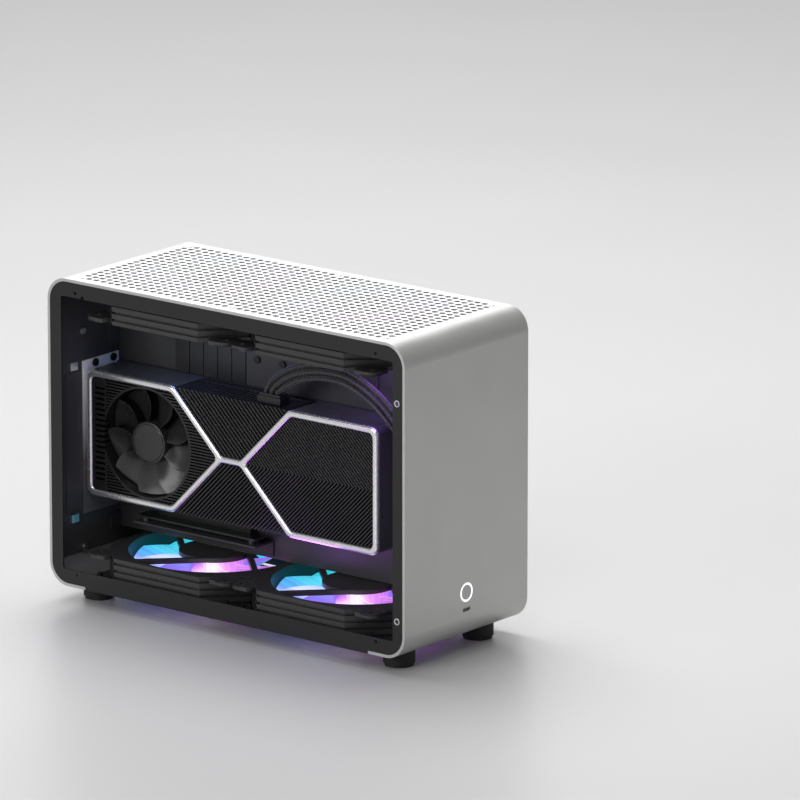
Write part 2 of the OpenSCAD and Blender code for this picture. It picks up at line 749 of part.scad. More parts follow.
// Blade surfaces: u runs from hub to tip, v across the blade
function blade_point(inner, outer, rise, sweep, chord, camber, u, v) =
    let (r = inner + (outer - inner) * u,
        turn = sweep * pow(u, 1.4) + (v - 0.5) * (chord[0] + (chord[1] - chord[0]) * u),
        z = rise[0] + (rise[1] - rise[0]) * (1 - v) + camber * 4 * v * (1 - v))
    [r * cos(turn), r * sin(turn), z];
module blade(inner, outer, rise, sweep, chord, camber, thickness, nu, nv) {
    row = nv + 1;
    sheet_points = (nu + 1) * row;
    lower = [for (i = [0:nu], j = [0:nv])
        blade_point(inner, outer, rise, sweep, chord, camber, i / nu, j / nv)];
    upper = [for (p = lower) p + [0, 0, thickness]];
    cells = [for (i = [0:nu - 1], j = [0:nv - 1]) i * row + j];
    bottom_faces = [for (c = cells) each [[c, c + row, c + 1], [c + 1, c + row, c + row + 1]]];
    top_faces = [for (c = cells) each [[c + sheet_points, c + 1 + sheet_points, c + row + sheet_points],
        [c + 1 + sheet_points, c + row + 1 + sheet_points, c + row + sheet_points]]];
    edge = concat([for (j = [0:nv - 1]) j], [for (i = [0:nu - 1]) i * row + nv],
        [for (j = [nv:-1:1]) nu * row + j], [for (i = [nu:-1:1]) i * row]);
    rim = [for (k = [0:len(edge) - 1]) let (a = edge[k], b = edge[(k + 1) % len(edge)])
        each [[a, b, a + sheet_points], [b, b + sheet_points, a + sheet_points]]];
    polyhedron(concat(lower, upper), concat(bottom_faces, top_faces, rim));
}
module blade_set(count, inner, outer, rise, sweep, chord, camber, thickness, nu, nv) {
    for (k = [0:count - 1])
        rotate(k * 360 / count) blade(inner, outer, rise, sweep, chord, camber, thickness, nu, nv);
}

// A hub cup with blades that turns on a shaft, built upwards from z = 0
module turning_wheel(count, hub, tip, height, shaft, sweep, chord_share, nu, nv) {
    chord = 360 / count * chord_share;
    difference() {
        union() {
            difference() {
                cylinder(r = hub, h = height, $fn = round_sides);
                translate([0, 0, 2.2]) cylinder(r = hub - 1.8, h = height, $fn = round_sides);
            }
            cylinder(r = shaft + 2.5, h = height - 0.5, $fn = small_sides);
        }
        translate([0, 0, 1.2]) cylinder(r = shaft + fit_gap, h = height, $fn = small_sides);
    }
    blade_set(count, hub - 0.6, tip, [0.6, height - 3.2], sweep, chord, 1.2, 1.5, nu, nv);
}

module cooler_rotor() {
    color([0.12, 0.12, 0.12]) on_feet() translate([cooler_fan_x + 14.5, cooler_y, cooler_z]) rotate([0, -90, 0])
        turning_wheel(7, 15, 42, 11.5, 1.5, 25, [0.8, 0.6], 2, 2);
}

// Power supply

supply_mid_y = (supply_front + supply_rear) / 2;
supply_mid_z = supply_z + supply_width / 2;
supply_fan_radius = 40;
supply_lid = supply_x + supply_height;
supply_socket_z = 60;

module psu_case() {
    color([0.13, 0.13, 0.13]) on_feet() difference() {
        block([supply_x, supply_front, supply_z], [supply_lid, supply_rear, supply_z + supply_width]);
        rod_x(supply_lid - 16, supply_lid - 1, supply_mid_y, supply_mid_z, supply_fan_radius + 1, round_sides);
        difference() {
            rod_x(supply_lid - 2, supply_lid + through, supply_mid_y, supply_mid_z, supply_fan_radius,
                round_sides);
            for (k = [1:4])
                difference() {
                    rod_x(supply_lid - 3, supply_lid + 2, supply_mid_y, supply_mid_z, k * 8 + 1.2, round_sides);
                    rod_x(supply_lid - 4, supply_lid + 3, supply_mid_y, supply_mid_z, k * 8 - 0.8, round_sides);
                }
            for (turn = [45, 135])
                translate([supply_lid - 3, supply_mid_y, supply_mid_z]) rotate([turn, 0, 0])
                    cube([10, 4 * supply_fan_radius, 3], center = true);
        }
        for (z = [supply_z + 14, supply_z + 34, supply_z + supply_socket_z, supply_z + 80])
            block([supply_x + 8, supply_front - through, z - 6.5], [supply_x + 34, supply_front + 6, z + 6.5]);
        block([supply_x + 8, supply_rear - 10, supply_z + 8],
            [supply_x + 28, supply_rear + through, supply_z + 35]);
    }
    color([0.13, 0.13, 0.13]) on_feet()
        rod_x(supply_lid - 16.01, supply_lid - 4.6, supply_mid_y, supply_mid_z, 1.5);
}

module psu_rotor() {
    color([0.1, 0.1, 0.1]) on_feet() translate([supply_lid - 3, supply_mid_y, supply_mid_z]) rotate([0, -90, 0])
        turning_wheel(7, 14, supply_fan_radius - 1, 11, 1.5, 30, [0.8, 0.6], 2, 2);
}

module psu_bracket() {
    color([0.14, 0.14, 0.14]) on_feet() {
        along_y(supply_rear, sheet) difference() {
            translate([divider_far_x, supply_z - 4]) square([supply_height - 6, supply_width + 8]);
            soft_rect([supply_x + 5, supply_z + 5], [supply_x + 45, supply_z + supply_width - 14], 3);
        }
        block([divider_far_x, supply_rear + sheet - 0.01, supply_z - 4],
            [divider_far_x + sheet, supply_rear + flange, supply_z + supply_width + 4]);
    }
}

// Front controls

module power_button() {
    color([0.5, 0.5, 0.49]) on_feet() {
        rod_y(button_outer_y, -inner_y + 4.5, 0, button_height, button_radius, round_sides);
        rod_y(-inner_y + 4.49, -inner_y + 5.8, 0, button_height, button_radius + 1.1, round_sides);
        rod_y(-inner_y + 5.79, io_board_y - 3.3 - button_travel, 0, button_height, 2, small_sides);
    }
}

module button_ring() {
    color("white") on_feet() difference() {
        union() {
            rod_y(button_outer_y, -inner_y, 0, button_height, ring_radius, round_sides);
            rod_y(-inner_y, -inner_y + 1.2, 0, button_height, ring_radius + 1.5, round_sides);
            rod_y(-inner_y + 1.19, -inner_y + 4.2, 0, button_height, ring_radius, round_sides);
        }
        rod_y(button_outer_y - 1, -inner_y + 6, 0, button_height, button_radius + button_clear, round_sides);
    }
}

module usb_port() {
    color([0.35, 0.35, 0.36]) on_feet() {
        z = button_height - port_drop;
        difference() {
            along_y(-half_l + 0.4, io_board_y + half_l - 0.4) soft_rect([-4.3, z - 1.2], [4.3, z + 1.2], 1.15);
            along_y(-half_l - through, 8) soft_rect([-3.9, z - 0.85], [3.9, z + 0.85], 0.8);
        }
        block([-3.2, -half_l + 1.2, z - 0.25], [3.2, -half_l + 8, z + 0.25]);
    }
}

post_places = [[-13, button_height + 9], [13, button_height + 9],
    [-13, button_height - 16], [13, button_height - 16]];

module front_io_board() {
    color([0.05, 0.12, 0.07]) on_feet() {
        difference() {
            block([-16, io_board_y, button_height - 24], [16, io_board_y + 1.6, button_height + 13]);
            for (place = post_places)
                rod_y(io_board_y - through, io_board_y + 3, place.x, place.y, 1.4);
        }
        block([-3, io_board_y - 2, button_height - 3], [3, io_board_y, button_height + 3]);
        block([-6, io_board_y + 1.6, button_height - 12], [6, io_board_y + 6.5, button_height - 6]);
    }
}

module front_posts() {
    color("silver") on_feet() for (place = post_places) {
        rod_y(-inner_y, io_board_y, place.x, place.y, 2.4);
        rod_y(io_board_y - 0.01, io_board_y + 3, place.x, place.y, 1.3);
    }
}

// Graphics card

// The trim's rear or front window as corner points, drawn from the rear (side 1) or front (side -1) end
function wing_points(side, inset, reach = 0) =
    let (end = side == 1 ? card_rear : card_front,
        slope = inset * sqrt(2),
        corner = wing_length - slope + inset,
        apex = wing_length + card_height / 2 - slope)
    [[end - side * inset, card_z + inset], [end - side * inset, card_top - inset],
        [end - side * corner, card_top - inset], [end - side * (apex + reach), card_mid_z],
        [end - side * corner, card_z + inset]];

module wing(side, inset, radius) {
    polygon(round_outline(wing_points(side, inset), [radius, radius, 8, 3, 8]));
}

// The bar that joins the two wings at the card's middle
module waist(half_bar) {
    reach = card_length / 2 - wing_length - card_height / 2;
    middle = (card_rear + card_front) / 2;
    flare = trim_width * 1.3;
    polygon([[middle - reach - flare, card_mid_z], [middle - reach - flare + half_bar, card_mid_z - half_bar],
        [middle + reach + flare - half_bar, card_mid_z - half_bar], [middle + reach + flare, card_mid_z],
        [middle + reach + flare - half_bar, card_mid_z + half_bar],
        [middle - reach - flare + half_bar, card_mid_z + half_bar]]);
}

module card_outline(inset) {
    wing(1, inset, 7 - inset);
    wing(-1, inset, 7 - inset);
    waist(trim_width / 2 - inset);
}

module gpu_trim() {
    crown = 0.5;
    color("silver") on_feet() for (k = [0:2])
        along_x(card_x + crown * k, trim_depth - 2 * crown * k) difference() {
            card_outline([0.9, 0.35, 0][k]);
            for (side = [1, -1])
                wing(side, trim_width - [0.9, 0.35, 0][k], 3);
        }
}

module gpu_shroud() {
    depth = board_plane_x - card_x - trim_depth - 2;
    rim = shroud_wall + 0.1;
    color([0.12, 0.12, 0.13]) on_feet() difference() {
        union() {
            along_x(card_x + trim_depth, depth) shroud_ring();
            along_x(board_plane_x - 2.01, card_back_x - board_plane_x + 0.61) difference() {
                shroud_ring();
                translate([card_front + rim, card_z + rim])
                    square([card_length - 2 * rim, card_height - 2 * rim]);
                translate([slot_mid_y - 43, card_z - through]) square([86, 2 * rim]);
            }
        }
        for (port = display_ports)
            block([board_plane_x - display_depth - fit_gap, card_rear - 4, card_z + port[0] - fit_gap],
                [board_plane_x + fit_gap, card_rear + through, card_z + port[0] + port[1] + fit_gap]);
    }
}

module shroud_ring() {
    difference() {
        card_outline(0.2);
        for (side = [1, -1])
            wing(side, shroud_wall, 5);
    }
}

fin_start = card_x + 1.6;
fin_slot_depth = 9;
fin_base = 3;
fin_gap = 0.35;
fin_back = fin_start + fin_slot_depth + fin_base;

// Slots that leave a row of fins, turned about the card's centre line
module fin_slots(from_y, to_y, angle, pitch, slot) {
    middle = (from_y + to_y) / 2;
    reach = abs(to_y - from_y) / 2 + card_height;
    count = floor(reach / pitch);
    translate([middle, card_mid_z]) rotate(angle) for (k = [-count:count])
        translate([-reach, k * pitch - slot / 2]) square([2 * reach, slot]);
}

module half_plane(upper, edge) {
    translate([-half_l, upper ? card_mid_z + edge : card_mid_z - case_height - edge])
        square([case_length, case_height]);
}

module gpu_fins_front() {
    color([0.09, 0.09, 0.09]) on_feet() {
        along_x(fin_start, fin_slot_depth) for (upper = [true, false])
            difference() {
                intersection() {
                    wing(-1, trim_width + 0.15, 3);
                    half_plane(upper, 0.01);
                }
                fin_slots(card_front, card_front + wing_length, upper ? 45 : -45, fin_pitch, fin_pitch * 0.5);
            }
        along_x(fin_start + fin_slot_depth - 0.01, fin_base) wing(-1, trim_width + 0.15, 3);
        along_x(fin_back - 0.01, board_plane_x - board_relief - fin_back) wing(-1, trim_width + 3, 2);
    }
}

band_y = [card_rear - 19, card_rear - 7];
ring_wall = 1.6;

module gpu_fins_rear() {
    color([0.09, 0.09, 0.09]) on_feet() {
        difference() {
            union() {
                along_x(fin_start, fin_slot_depth) difference() {
                    wing(1, trim_width + 0.15, 3);
                    difference() {
                        fin_slots(card_rear - wing_length, card_rear, 0, fin_pitch, fin_pitch * 0.5);
                        translate([band_y[0], card_z]) square([30, card_height]);
                        translate([card_fan_y, card_mid_z])
                            circle(r = card_fan_radius + ring_wall, $fn = round_sides);
                    }
                    for (k = [0:17])
                        translate([band_y[0] + 1, card_z + 13 + k * 4.2]) square([10, 2]);
                }
                along_x(fin_start + fin_slot_depth - 0.01, fin_base) wing(1, trim_width + 0.15, 3);
                along_x(fin_back - 0.01, board_plane_x - board_relief - fin_back) wing(1, trim_width + 3, 2);
            }
            rod_x(fin_start - through, fin_start + 18, card_fan_y, card_mid_z, card_fan_radius, round_sides);
        }
        rod_x(fin_start + 17.9, fin_start + 19.5, card_fan_y, card_mid_z, card_hub_radius - 2, round_sides);
        rod_x(fin_start + 4, fin_start + 19.5, card_fan_y, card_mid_z, 1.5);
    }
}

module gpu_rotor() {
    color([0.08, 0.08, 0.08]) on_feet()
        translate([fin_start + 2.4, card_fan_y, card_mid_z]) rotate([0, 90, 0])
            turning_wheel(9, card_hub_radius, card_fan_radius - 1, 13, 1.5, -28, [0.75, 0.8], 4, 3);
}

module middle_region(upper) {
    flip = upper ? 1 : -1;
    reach = card_length / 2 - wing_length;
    middle = (card_rear + card_front) / 2;
    edge = card_height / 2 - 0.5;
    foot = card_length / 2 - wing_length - card_height / 2 + fin_gap;
    inner = trim_width / 2 + fin_gap;
    polygon([[middle - reach + 1.2, card_mid_z + flip * edge], [middle + reach - 1.2, card_mid_z + flip * edge],
        [middle + foot + inner - 1, card_mid_z + flip * inner],
        [middle - foot - inner + 1, card_mid_z + flip * inner]]);
}

module gpu_fins_middle() {
    color([0.08, 0.08, 0.08]) on_feet() for (upper = [true, false]) {
        along_x(fin_start, board_plane_x - fin_start - 6) difference() {
            middle_region(upper);
            fin_slots(card_front + wing_length, card_rear - wing_length, upper ? 45 : -45,
                upper ? 3 : 2.6, upper ? 1.6 : 1.3);
        }
        along_x(board_plane_x - 6.01, 4.2) middle_region(upper);
    }
}

module gpu_backplate() {
    color([0.14, 0.14, 0.14]) on_feet() along_x(card_back_x - 1.4, 1.4) difference() {
        soft_rect([card_front, card_z], [card_rear, card_top], 4);
        for (k = [0:12])
            translate([card_front + 14 + k * 5, card_z + 16]) square([2.6, card_height - 32]);
    }
}

// Display sockets: lowest edge above the card's lower side, and length
display_ports = [[16.3, 16.4], [39.3, 16.4], [62.3, 16.4], [83.3, 13.4]];
display_depth = 8.6;
fin_end_gap = 8;

module gpu_board() {
    color([0.04, 0.08, 0.05]) on_feet() {
        along_x(board_plane_x, 1.6) difference() {
            translate([card_front + 90, card_z + 2]) square([card_length - 92, card_height - 4]);
            translate([card_front + 88, card_z]) square([20, 18]);
        }
        block([board_plane_x, slot_mid_y - 41.5, card_z - 7],
            [board_plane_x + 1.6, slot_mid_y + 41.5, card_z + 2.1]);
        for (y = [card_front + 110, card_front + 200, card_rear - 10], z = [card_z + 25, card_top - 10])
            rod_x(board_plane_x + 1.59, card_back_x - 1.4, y, z, 3);
        block([board_plane_x - board_relief, card_front + 100, card_z + 20],
            [board_plane_x + 0.01, card_rear - fin_end_gap, card_top - 8]);
        for (port = display_ports)
            difference() {
                block([board_plane_x - display_depth, card_rear - fin_end_gap + 0.2, card_z + port[0]],
                    [board_plane_x + 0.01, rear_y - 0.2, card_z + port[0] + port[1]]);
                difference() {
                    block([board_plane_x - display_depth + 0.8, card_rear - 6, card_z + port[0] + 0.8],
                        [board_plane_x - 1, rear_y + through, card_z + port[0] + port[1] - 0.8]);
                    block([board_plane_x - 5, card_rear - 7, card_z + port[0] + 2],
                        [board_plane_x - 3.6, rear_y - 1, card_z + port[0] + port[1] - 2]);
                }
            }
    }
}

module gpu_bracket() {
    color("silver") on_feet() along_y(rear_y - 1, 1) difference() {
        translate([card_x - 2, card_z - 15]) square([card_thickness + 3.5, card_height + 20.9]);
        for (port = display_ports)
            translate([board_plane_x - display_depth - fit_gap, card_z + port[0] - fit_gap])
                square([display_depth + 2 * fit_gap, port[1] + 2 * fit_gap]);
        for (k = [0:9])
            soft_rect([card_x + 4, card_z + 6 + k * 8.8], [card_x + 20, card_z + 10 + k * 8.8], 1.9);
        for (place = slot_screw_places)
            translate(place) circle(r = 1.6, $fn = small_sides);
    }
}

module gpu_bracket_screws() {
    color([0.05, 0.05, 0.05]) on_feet() for (place = slot_screw_places)
        pan_screw_y(place.x, place.y, rear_y - 1, 3, 3);
}

// Power plugs and cables of the card

plug_size = [11, 22, 7];
cable_radius = 1.8;
cable_count = 5;
cable_spread = 2.7;
cable_stagger = 1.7;
cable_start = [socket_x, socket_y, card_top + plug_size.z];
supply_plug = [supply_x + 21, supply_front - 6, supply_z + supply_socket_z];

module power_plugs() {
    color([0.05, 0.05, 0.05]) on_feet() {
        block([socket_x - plug_size.x / 2, socket_y - plug_size.y / 2, card_top - 0.2],
            [socket_x + plug_size.x / 2, socket_y + plug_size.y / 2, card_top + plug_size.z - 2]);
        block([socket_x - plug_size.x / 2 + 1, socket_y - plug_size.y / 2 + 1, card_top + plug_size.z - 2.01],
            [socket_x + plug_size.x / 2 - 1, socket_y + plug_size.y / 2 - 1, card_top + plug_size.z]);
        block(supply_plug - [12.8, 0, 6.2], supply_plug + [12.8, 11.8, 6.2]);
    }
}

// Route of the bundle's middle, from the card's plug to the power supply's: each stop's point,
// and the way in which the cables spread there
cable_route = [
    [cable_start, [0, 1, 0]],
    [cable_start + [0, -3, 6], [0, 1, 0.3]],
    [cable_start + [0, -14, 14], [0, 0.6, 0.8]],
    [cable_start + [0, -30, 21], [0, 0.4, 0.9]],
    [cable_start + [0, -52, 25], [0, 0, 1]],
    [cable_start + [0, -75, 23], [0, 0, 1]],
    [cable_start + [1, -98, 12], [0, -0.5, 1]],
    [cable_start + [2, -117, -4], [0, -0.9, 0.6]],
    [[card_x + 18, supply_front - 2, supply_plug.z + 32], [0, -1, 0]],
    [[card_x + 31, supply_front - 10, supply_plug.z + 14], [0, -1, 0]],
    [supply_plug + [-19, -15, 4], [0, -1, 0]],
    [supply_plug + [-6, -17, 0.5], [0.4, -1, 0]],
    [supply_plug + [0, -9, 0], [1, -0.2, 0]],
    [supply_plug, [1, 0, 0]]];
function cable_way(i) =
    let (last = len(cable_route) - 1)
    i == 0 ? [0, 0, 1] : i == last ? [0, 1, 0] : unit(cable_route[i + 1][0] - cable_route[i - 1][0]);
function cable_stops(k) =
    [for (i = [0:len(cable_route) - 1])
        let (way = cable_way(i), wish = cable_route[i][1], spread = unit(wish - way * (wish * way)))
        cable_route[i][0] + spread * cable_spread * (k - (cable_count - 1) / 2)
            + cross(way, spread) * cable_stagger * (k % 2 == 0 ? 1 : -1)];
function one_cable(k) =
    let (stops = cable_stops(k), last = len(stops) - 1)
    concat([stops[0], stops[0] + [0, 0, 2]], curve([for (i = [1:last - 1]) stops[i]], 16),
        [stops[last] - [0, 2, 0], stops[last]]);

module gpu_power_cables() {
    color([0.06, 0.06, 0.06]) on_feet() for (k = [0:cable_count - 1])
        tube(one_cable(k), cable_radius, 8);
}

// Riser parts

riser_low_y = slot_mid_y - 58;
riser_high_y = slot_mid_y + 58;
riser_near_x = board_plane_x - 14;

module riser_bracket() {
    z = riser_board_z - 3.5;
    color([0.14, 0.14, 0.14]) on_feet() {
        block([riser_near_x - 2, riser_low_y - 2, z - sheet], [divider_x, riser_high_y + 2, z]);
        block([divider_x - sheet, riser_low_y - 2, divider_z[0] + 2],
            [divider_x, riser_high_y + 2, z - sheet + 0.01]);
        for (x = [riser_near_x + 4, board_plane_x - 5], y = [riser_low_y + 6, riser_high_y - 6])
            rod_z(z - 0.01, riser_board_z, x, y, 2.4);
    }
}

module riser_board() {
    color([0.03, 0.06, 0.04]) on_feet()
        block([riser_near_x, riser_low_y, riser_board_z],
            [board_plane_x + 2.4, riser_high_y, riser_board_z + 1.6]);
}

module riser_slot() {
    color([0.07, 0.07, 0.08]) on_feet() {
        z = riser_board_z + 1.6;
        difference() {
            block([board_plane_x - 3, slot_mid_y - 45, z], [board_plane_x + 4.6, slot_mid_y + 45, z + 11.2]);
            block([board_plane_x - 0.2, slot_mid_y - 42, z + 2],
                [board_plane_x + 1.8, slot_mid_y + 42, z + 12]);
        }
    }
}

ribbon_start_z = riser_board_z + 0.6;
ribbon_top_z = board_z + board_size + 4.5;
ribbon_plug_x = board_x + board_thickness + 14.2;

module riser_ribbon() {
    path = [[board_plane_x + 2.4, ribbon_start_z], [ribbon_x, ribbon_start_z],
        [ribbon_x, ribbon_top_z - 1.5], [ribbon_x + 1.5, ribbon_top_z], [ribbon_plug_x - 2, ribbon_top_z],
        [ribbon_plug_x, ribbon_top_z - 2], [ribbon_plug_x, plug_z + 4]];
    color([0.1, 0.1, 0.11]) on_feet() {
        for (k = [0:ribbon_count - 1])
            along_y(slot_mid_y - ribbon_span / 2 + k * ribbon_pitch, ribbon_width)
                polygon(strip_outline(path, ribbon_thickness));
        block([board_x + board_thickness + 11.2, slot_mid_y - 44, plug_z - 4.5],
            [ribbon_plug_x + 3, slot_mid_y + 44, plug_z + 4.01]);
    }
}

// Case fans

fan_ear = 12.6;
fan_corner = 8;
fan_notch = 2.2;
fan_groove = 2;
rib_height = (fan_depth - 2 * fan_rib - 4 * fan_groove) / 3;
fan_pad_radius = 9.5;
fan_pad_height = 1.2;

module fan_square() {
    soft_rect([-fan_half, -fan_half], [fan_half, fan_half], fan_corner);
}

// An end flange: cut corners, with a round ear about each screw hole
module fan_flange() {
    cut_square(fan_half, fan_waist_cut);
    intersection() {
        for (x = [-fan_hole, fan_hole], y = [-fan_hole, fan_hole])
            translate([x, y]) circle(r = fan_ear, $fn = small_sides);
        fan_square();
    }
}

module fan_frame(place) {
    color([0.14, 0.14, 0.15]) on_feet() translate([0, place[0], place[1]]) {
        difference() {
            union() {
                for (z = [0, fan_depth - fan_rib])
                    translate([0, 0, z]) linear_extrude(fan_rib) fan_flange();
                translate([0, 0, 1]) linear_extrude(fan_depth - 2)
                    cut_square(fan_half - fan_notch, fan_waist_cut - 1);
                for (k = [0:2])
                    translate([0, 0, fan_rib + fan_groove + k * (rib_height + fan_groove)])
                        linear_extrude(rib_height) cut_square(fan_half, fan_waist_cut);
            }
            rod_z(-through, fan_depth + through, 0, 0, fan_bore, round_sides);
            for (x = [-fan_hole, fan_hole], y = [-fan_hole, fan_hole]) {
                rod_z(-through, fan_depth + through, x, y, fan_hole_radius);
                for (z = [-through, fan_depth - fan_pad_height])
                    translate([x, y, z]) rotate(45)
                        cylinder(r = fan_pad_radius + 0.2, h = fan_pad_height + through, $fn = 6);
            }
        }
        translate([0, 0, fan_depth - motor_thickness]) {
            cylinder(r = motor_radius, h = motor_thickness, $fn = round_sides);
            intersection() {
                for (turn = [0:90:270])
                    rotate(turn) rotate(-45) translate([-3, 22, 0]) cube([fan_size, 4.5, motor_thickness]);
                cylinder(r = fan_bore + 0.5, h = motor_thickness, $fn = round_sides);
            }
        }
        rod_z(5, fan_depth - motor_thickness + 0.1, 0, 0, fan_shaft_radius);
    }
}

module fan_rotor(place) {
    color([0.75, 0.8, 1]) on_feet() translate([0, place[0], place[1] + rotor_floor])
        turning_wheel(fan_blades, fan_hub_radius, fan_bore - tip_gap, blade_zone, fan_shaft_radius, 34,
            [0.9, 0.86], 4, 3);
}

module fan_pads() {
    color([0.09, 0.09, 0.1]) on_feet() for (place = fan_places, z = [0, fan_depth - fan_pad_height])
        translate([0, place[0], place[1] + z]) linear_extrude(fan_pad_height) difference() {
            intersection() {
                for (x = [-fan_hole, fan_hole], y = [-fan_hole, fan_hole])
                    translate([x, y]) rotate(45) circle(r = fan_pad_radius, $fn = 6);
                fan_square();
            }
            for (x = [-fan_hole, fan_hole], y = [-fan_hole, fan_hole])
                translate([x, y]) circle(r = fan_hole_radius, $fn = small_sides);
        }
}

module fan_screws() {
    head = 1.2;
    color([0.3, 0.3, 0.3]) on_feet()
        for (y = [-fan_y, fan_y], i = [-1, 1], j = [-1, 1]) {
            rod_z(shell_wall - head, shell_wall, i * fan_hole, y + j * fan_hole, 3.4);
            rod_z(shell_wall - 0.01, floor_z + 9, i * fan_hole, y + j * fan_hole, fan_hole_radius - 0.2);
            rod_z(top_sheet_z + sheet, top_sheet_z + sheet + head, i * fan_hole, y + j * fan_hole, 3.4);
            rod_z(top_sheet_z - 9, top_sheet_z + sheet + 0.01, i * fan_hole, y + j * fan_hole,
                fan_hole_radius - 0.2);
        }
}

outer_shell();
side_frame_left();
side_frame_right();
right_side_panel();
panel_studs();
snap_sockets();
rear_panel();
rear_screws();
slot_cover();
slot_clips();
bottom_panel();
top_fan_bracket();
top_screws();
feet();
foot_pads();
divider_plate();
divider_cover();
divider_screws();
standoffs();
motherboard();
io_shield();
io_ports();
ram_sticks();
cpu_cooler();
cooler_rotor();
psu_case();
psu_rotor();
psu_bracket();
power_inlet();
power_button();
button_ring();
usb_port();
front_io_board();
front_posts();
gpu_trim();
gpu_shroud();
gpu_fins_rear();
gpu_fins_middle();
gpu_fins_front();
gpu_rotor();
gpu_backplate();
gpu_board();
gpu_bracket();
gpu_bracket_screws();
power_plugs();
gpu_power_cables();
riser_bracket();
riser_board();
riser_slot();
riser_ribbon();
fan_frame(fan_places[0]);  // fan_frame_1
fan_frame(fan_places[1]);  // fan_frame_2
fan_frame(fan_places[2]);  // fan_frame_3
fan_frame(fan_places[3]);  // fan_frame_4
fan_rotor(fan_places[0]);  // fan_rotor_1
fan_rotor(fan_places[1]);  // fan_rotor_2
fan_rotor(fan_places[2]);  // fan_rotor_3
fan_rotor(fan_places[3]);  // fan_rotor_4
fan_pads();
fan_screws();
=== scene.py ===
import bmesh
import bpy
import math
from mathutils import Matrix, Vector
from mathutils.geometry import tessellate_polygon


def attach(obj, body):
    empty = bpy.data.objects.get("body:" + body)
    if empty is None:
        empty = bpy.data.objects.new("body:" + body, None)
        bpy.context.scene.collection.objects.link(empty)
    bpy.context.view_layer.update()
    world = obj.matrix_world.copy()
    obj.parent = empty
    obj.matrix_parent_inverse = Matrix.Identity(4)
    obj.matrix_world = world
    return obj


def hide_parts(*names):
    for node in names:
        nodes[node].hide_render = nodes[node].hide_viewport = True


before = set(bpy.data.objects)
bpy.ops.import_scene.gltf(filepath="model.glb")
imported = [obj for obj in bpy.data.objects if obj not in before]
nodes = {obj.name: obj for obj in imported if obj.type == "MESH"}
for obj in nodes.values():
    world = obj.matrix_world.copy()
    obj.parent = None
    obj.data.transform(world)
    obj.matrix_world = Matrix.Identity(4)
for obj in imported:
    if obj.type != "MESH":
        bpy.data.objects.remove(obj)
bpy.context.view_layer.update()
scene = bpy.context.scene

# Metres. x runs from the open side to the closed one, y from the front panel to the rear, z up from the floor
FOOT = 0.0125                        # the body's underside, above the floor
FAN_Y = 0.0702                       # centres of the case fans, before and behind the middle
LOW_FAN, HIGH_FAN = 0.0035, 0.211    # their undersides, above the body's underside
BLADES = 9                           # on each fan that shows


# ---------- shader nodes ----------

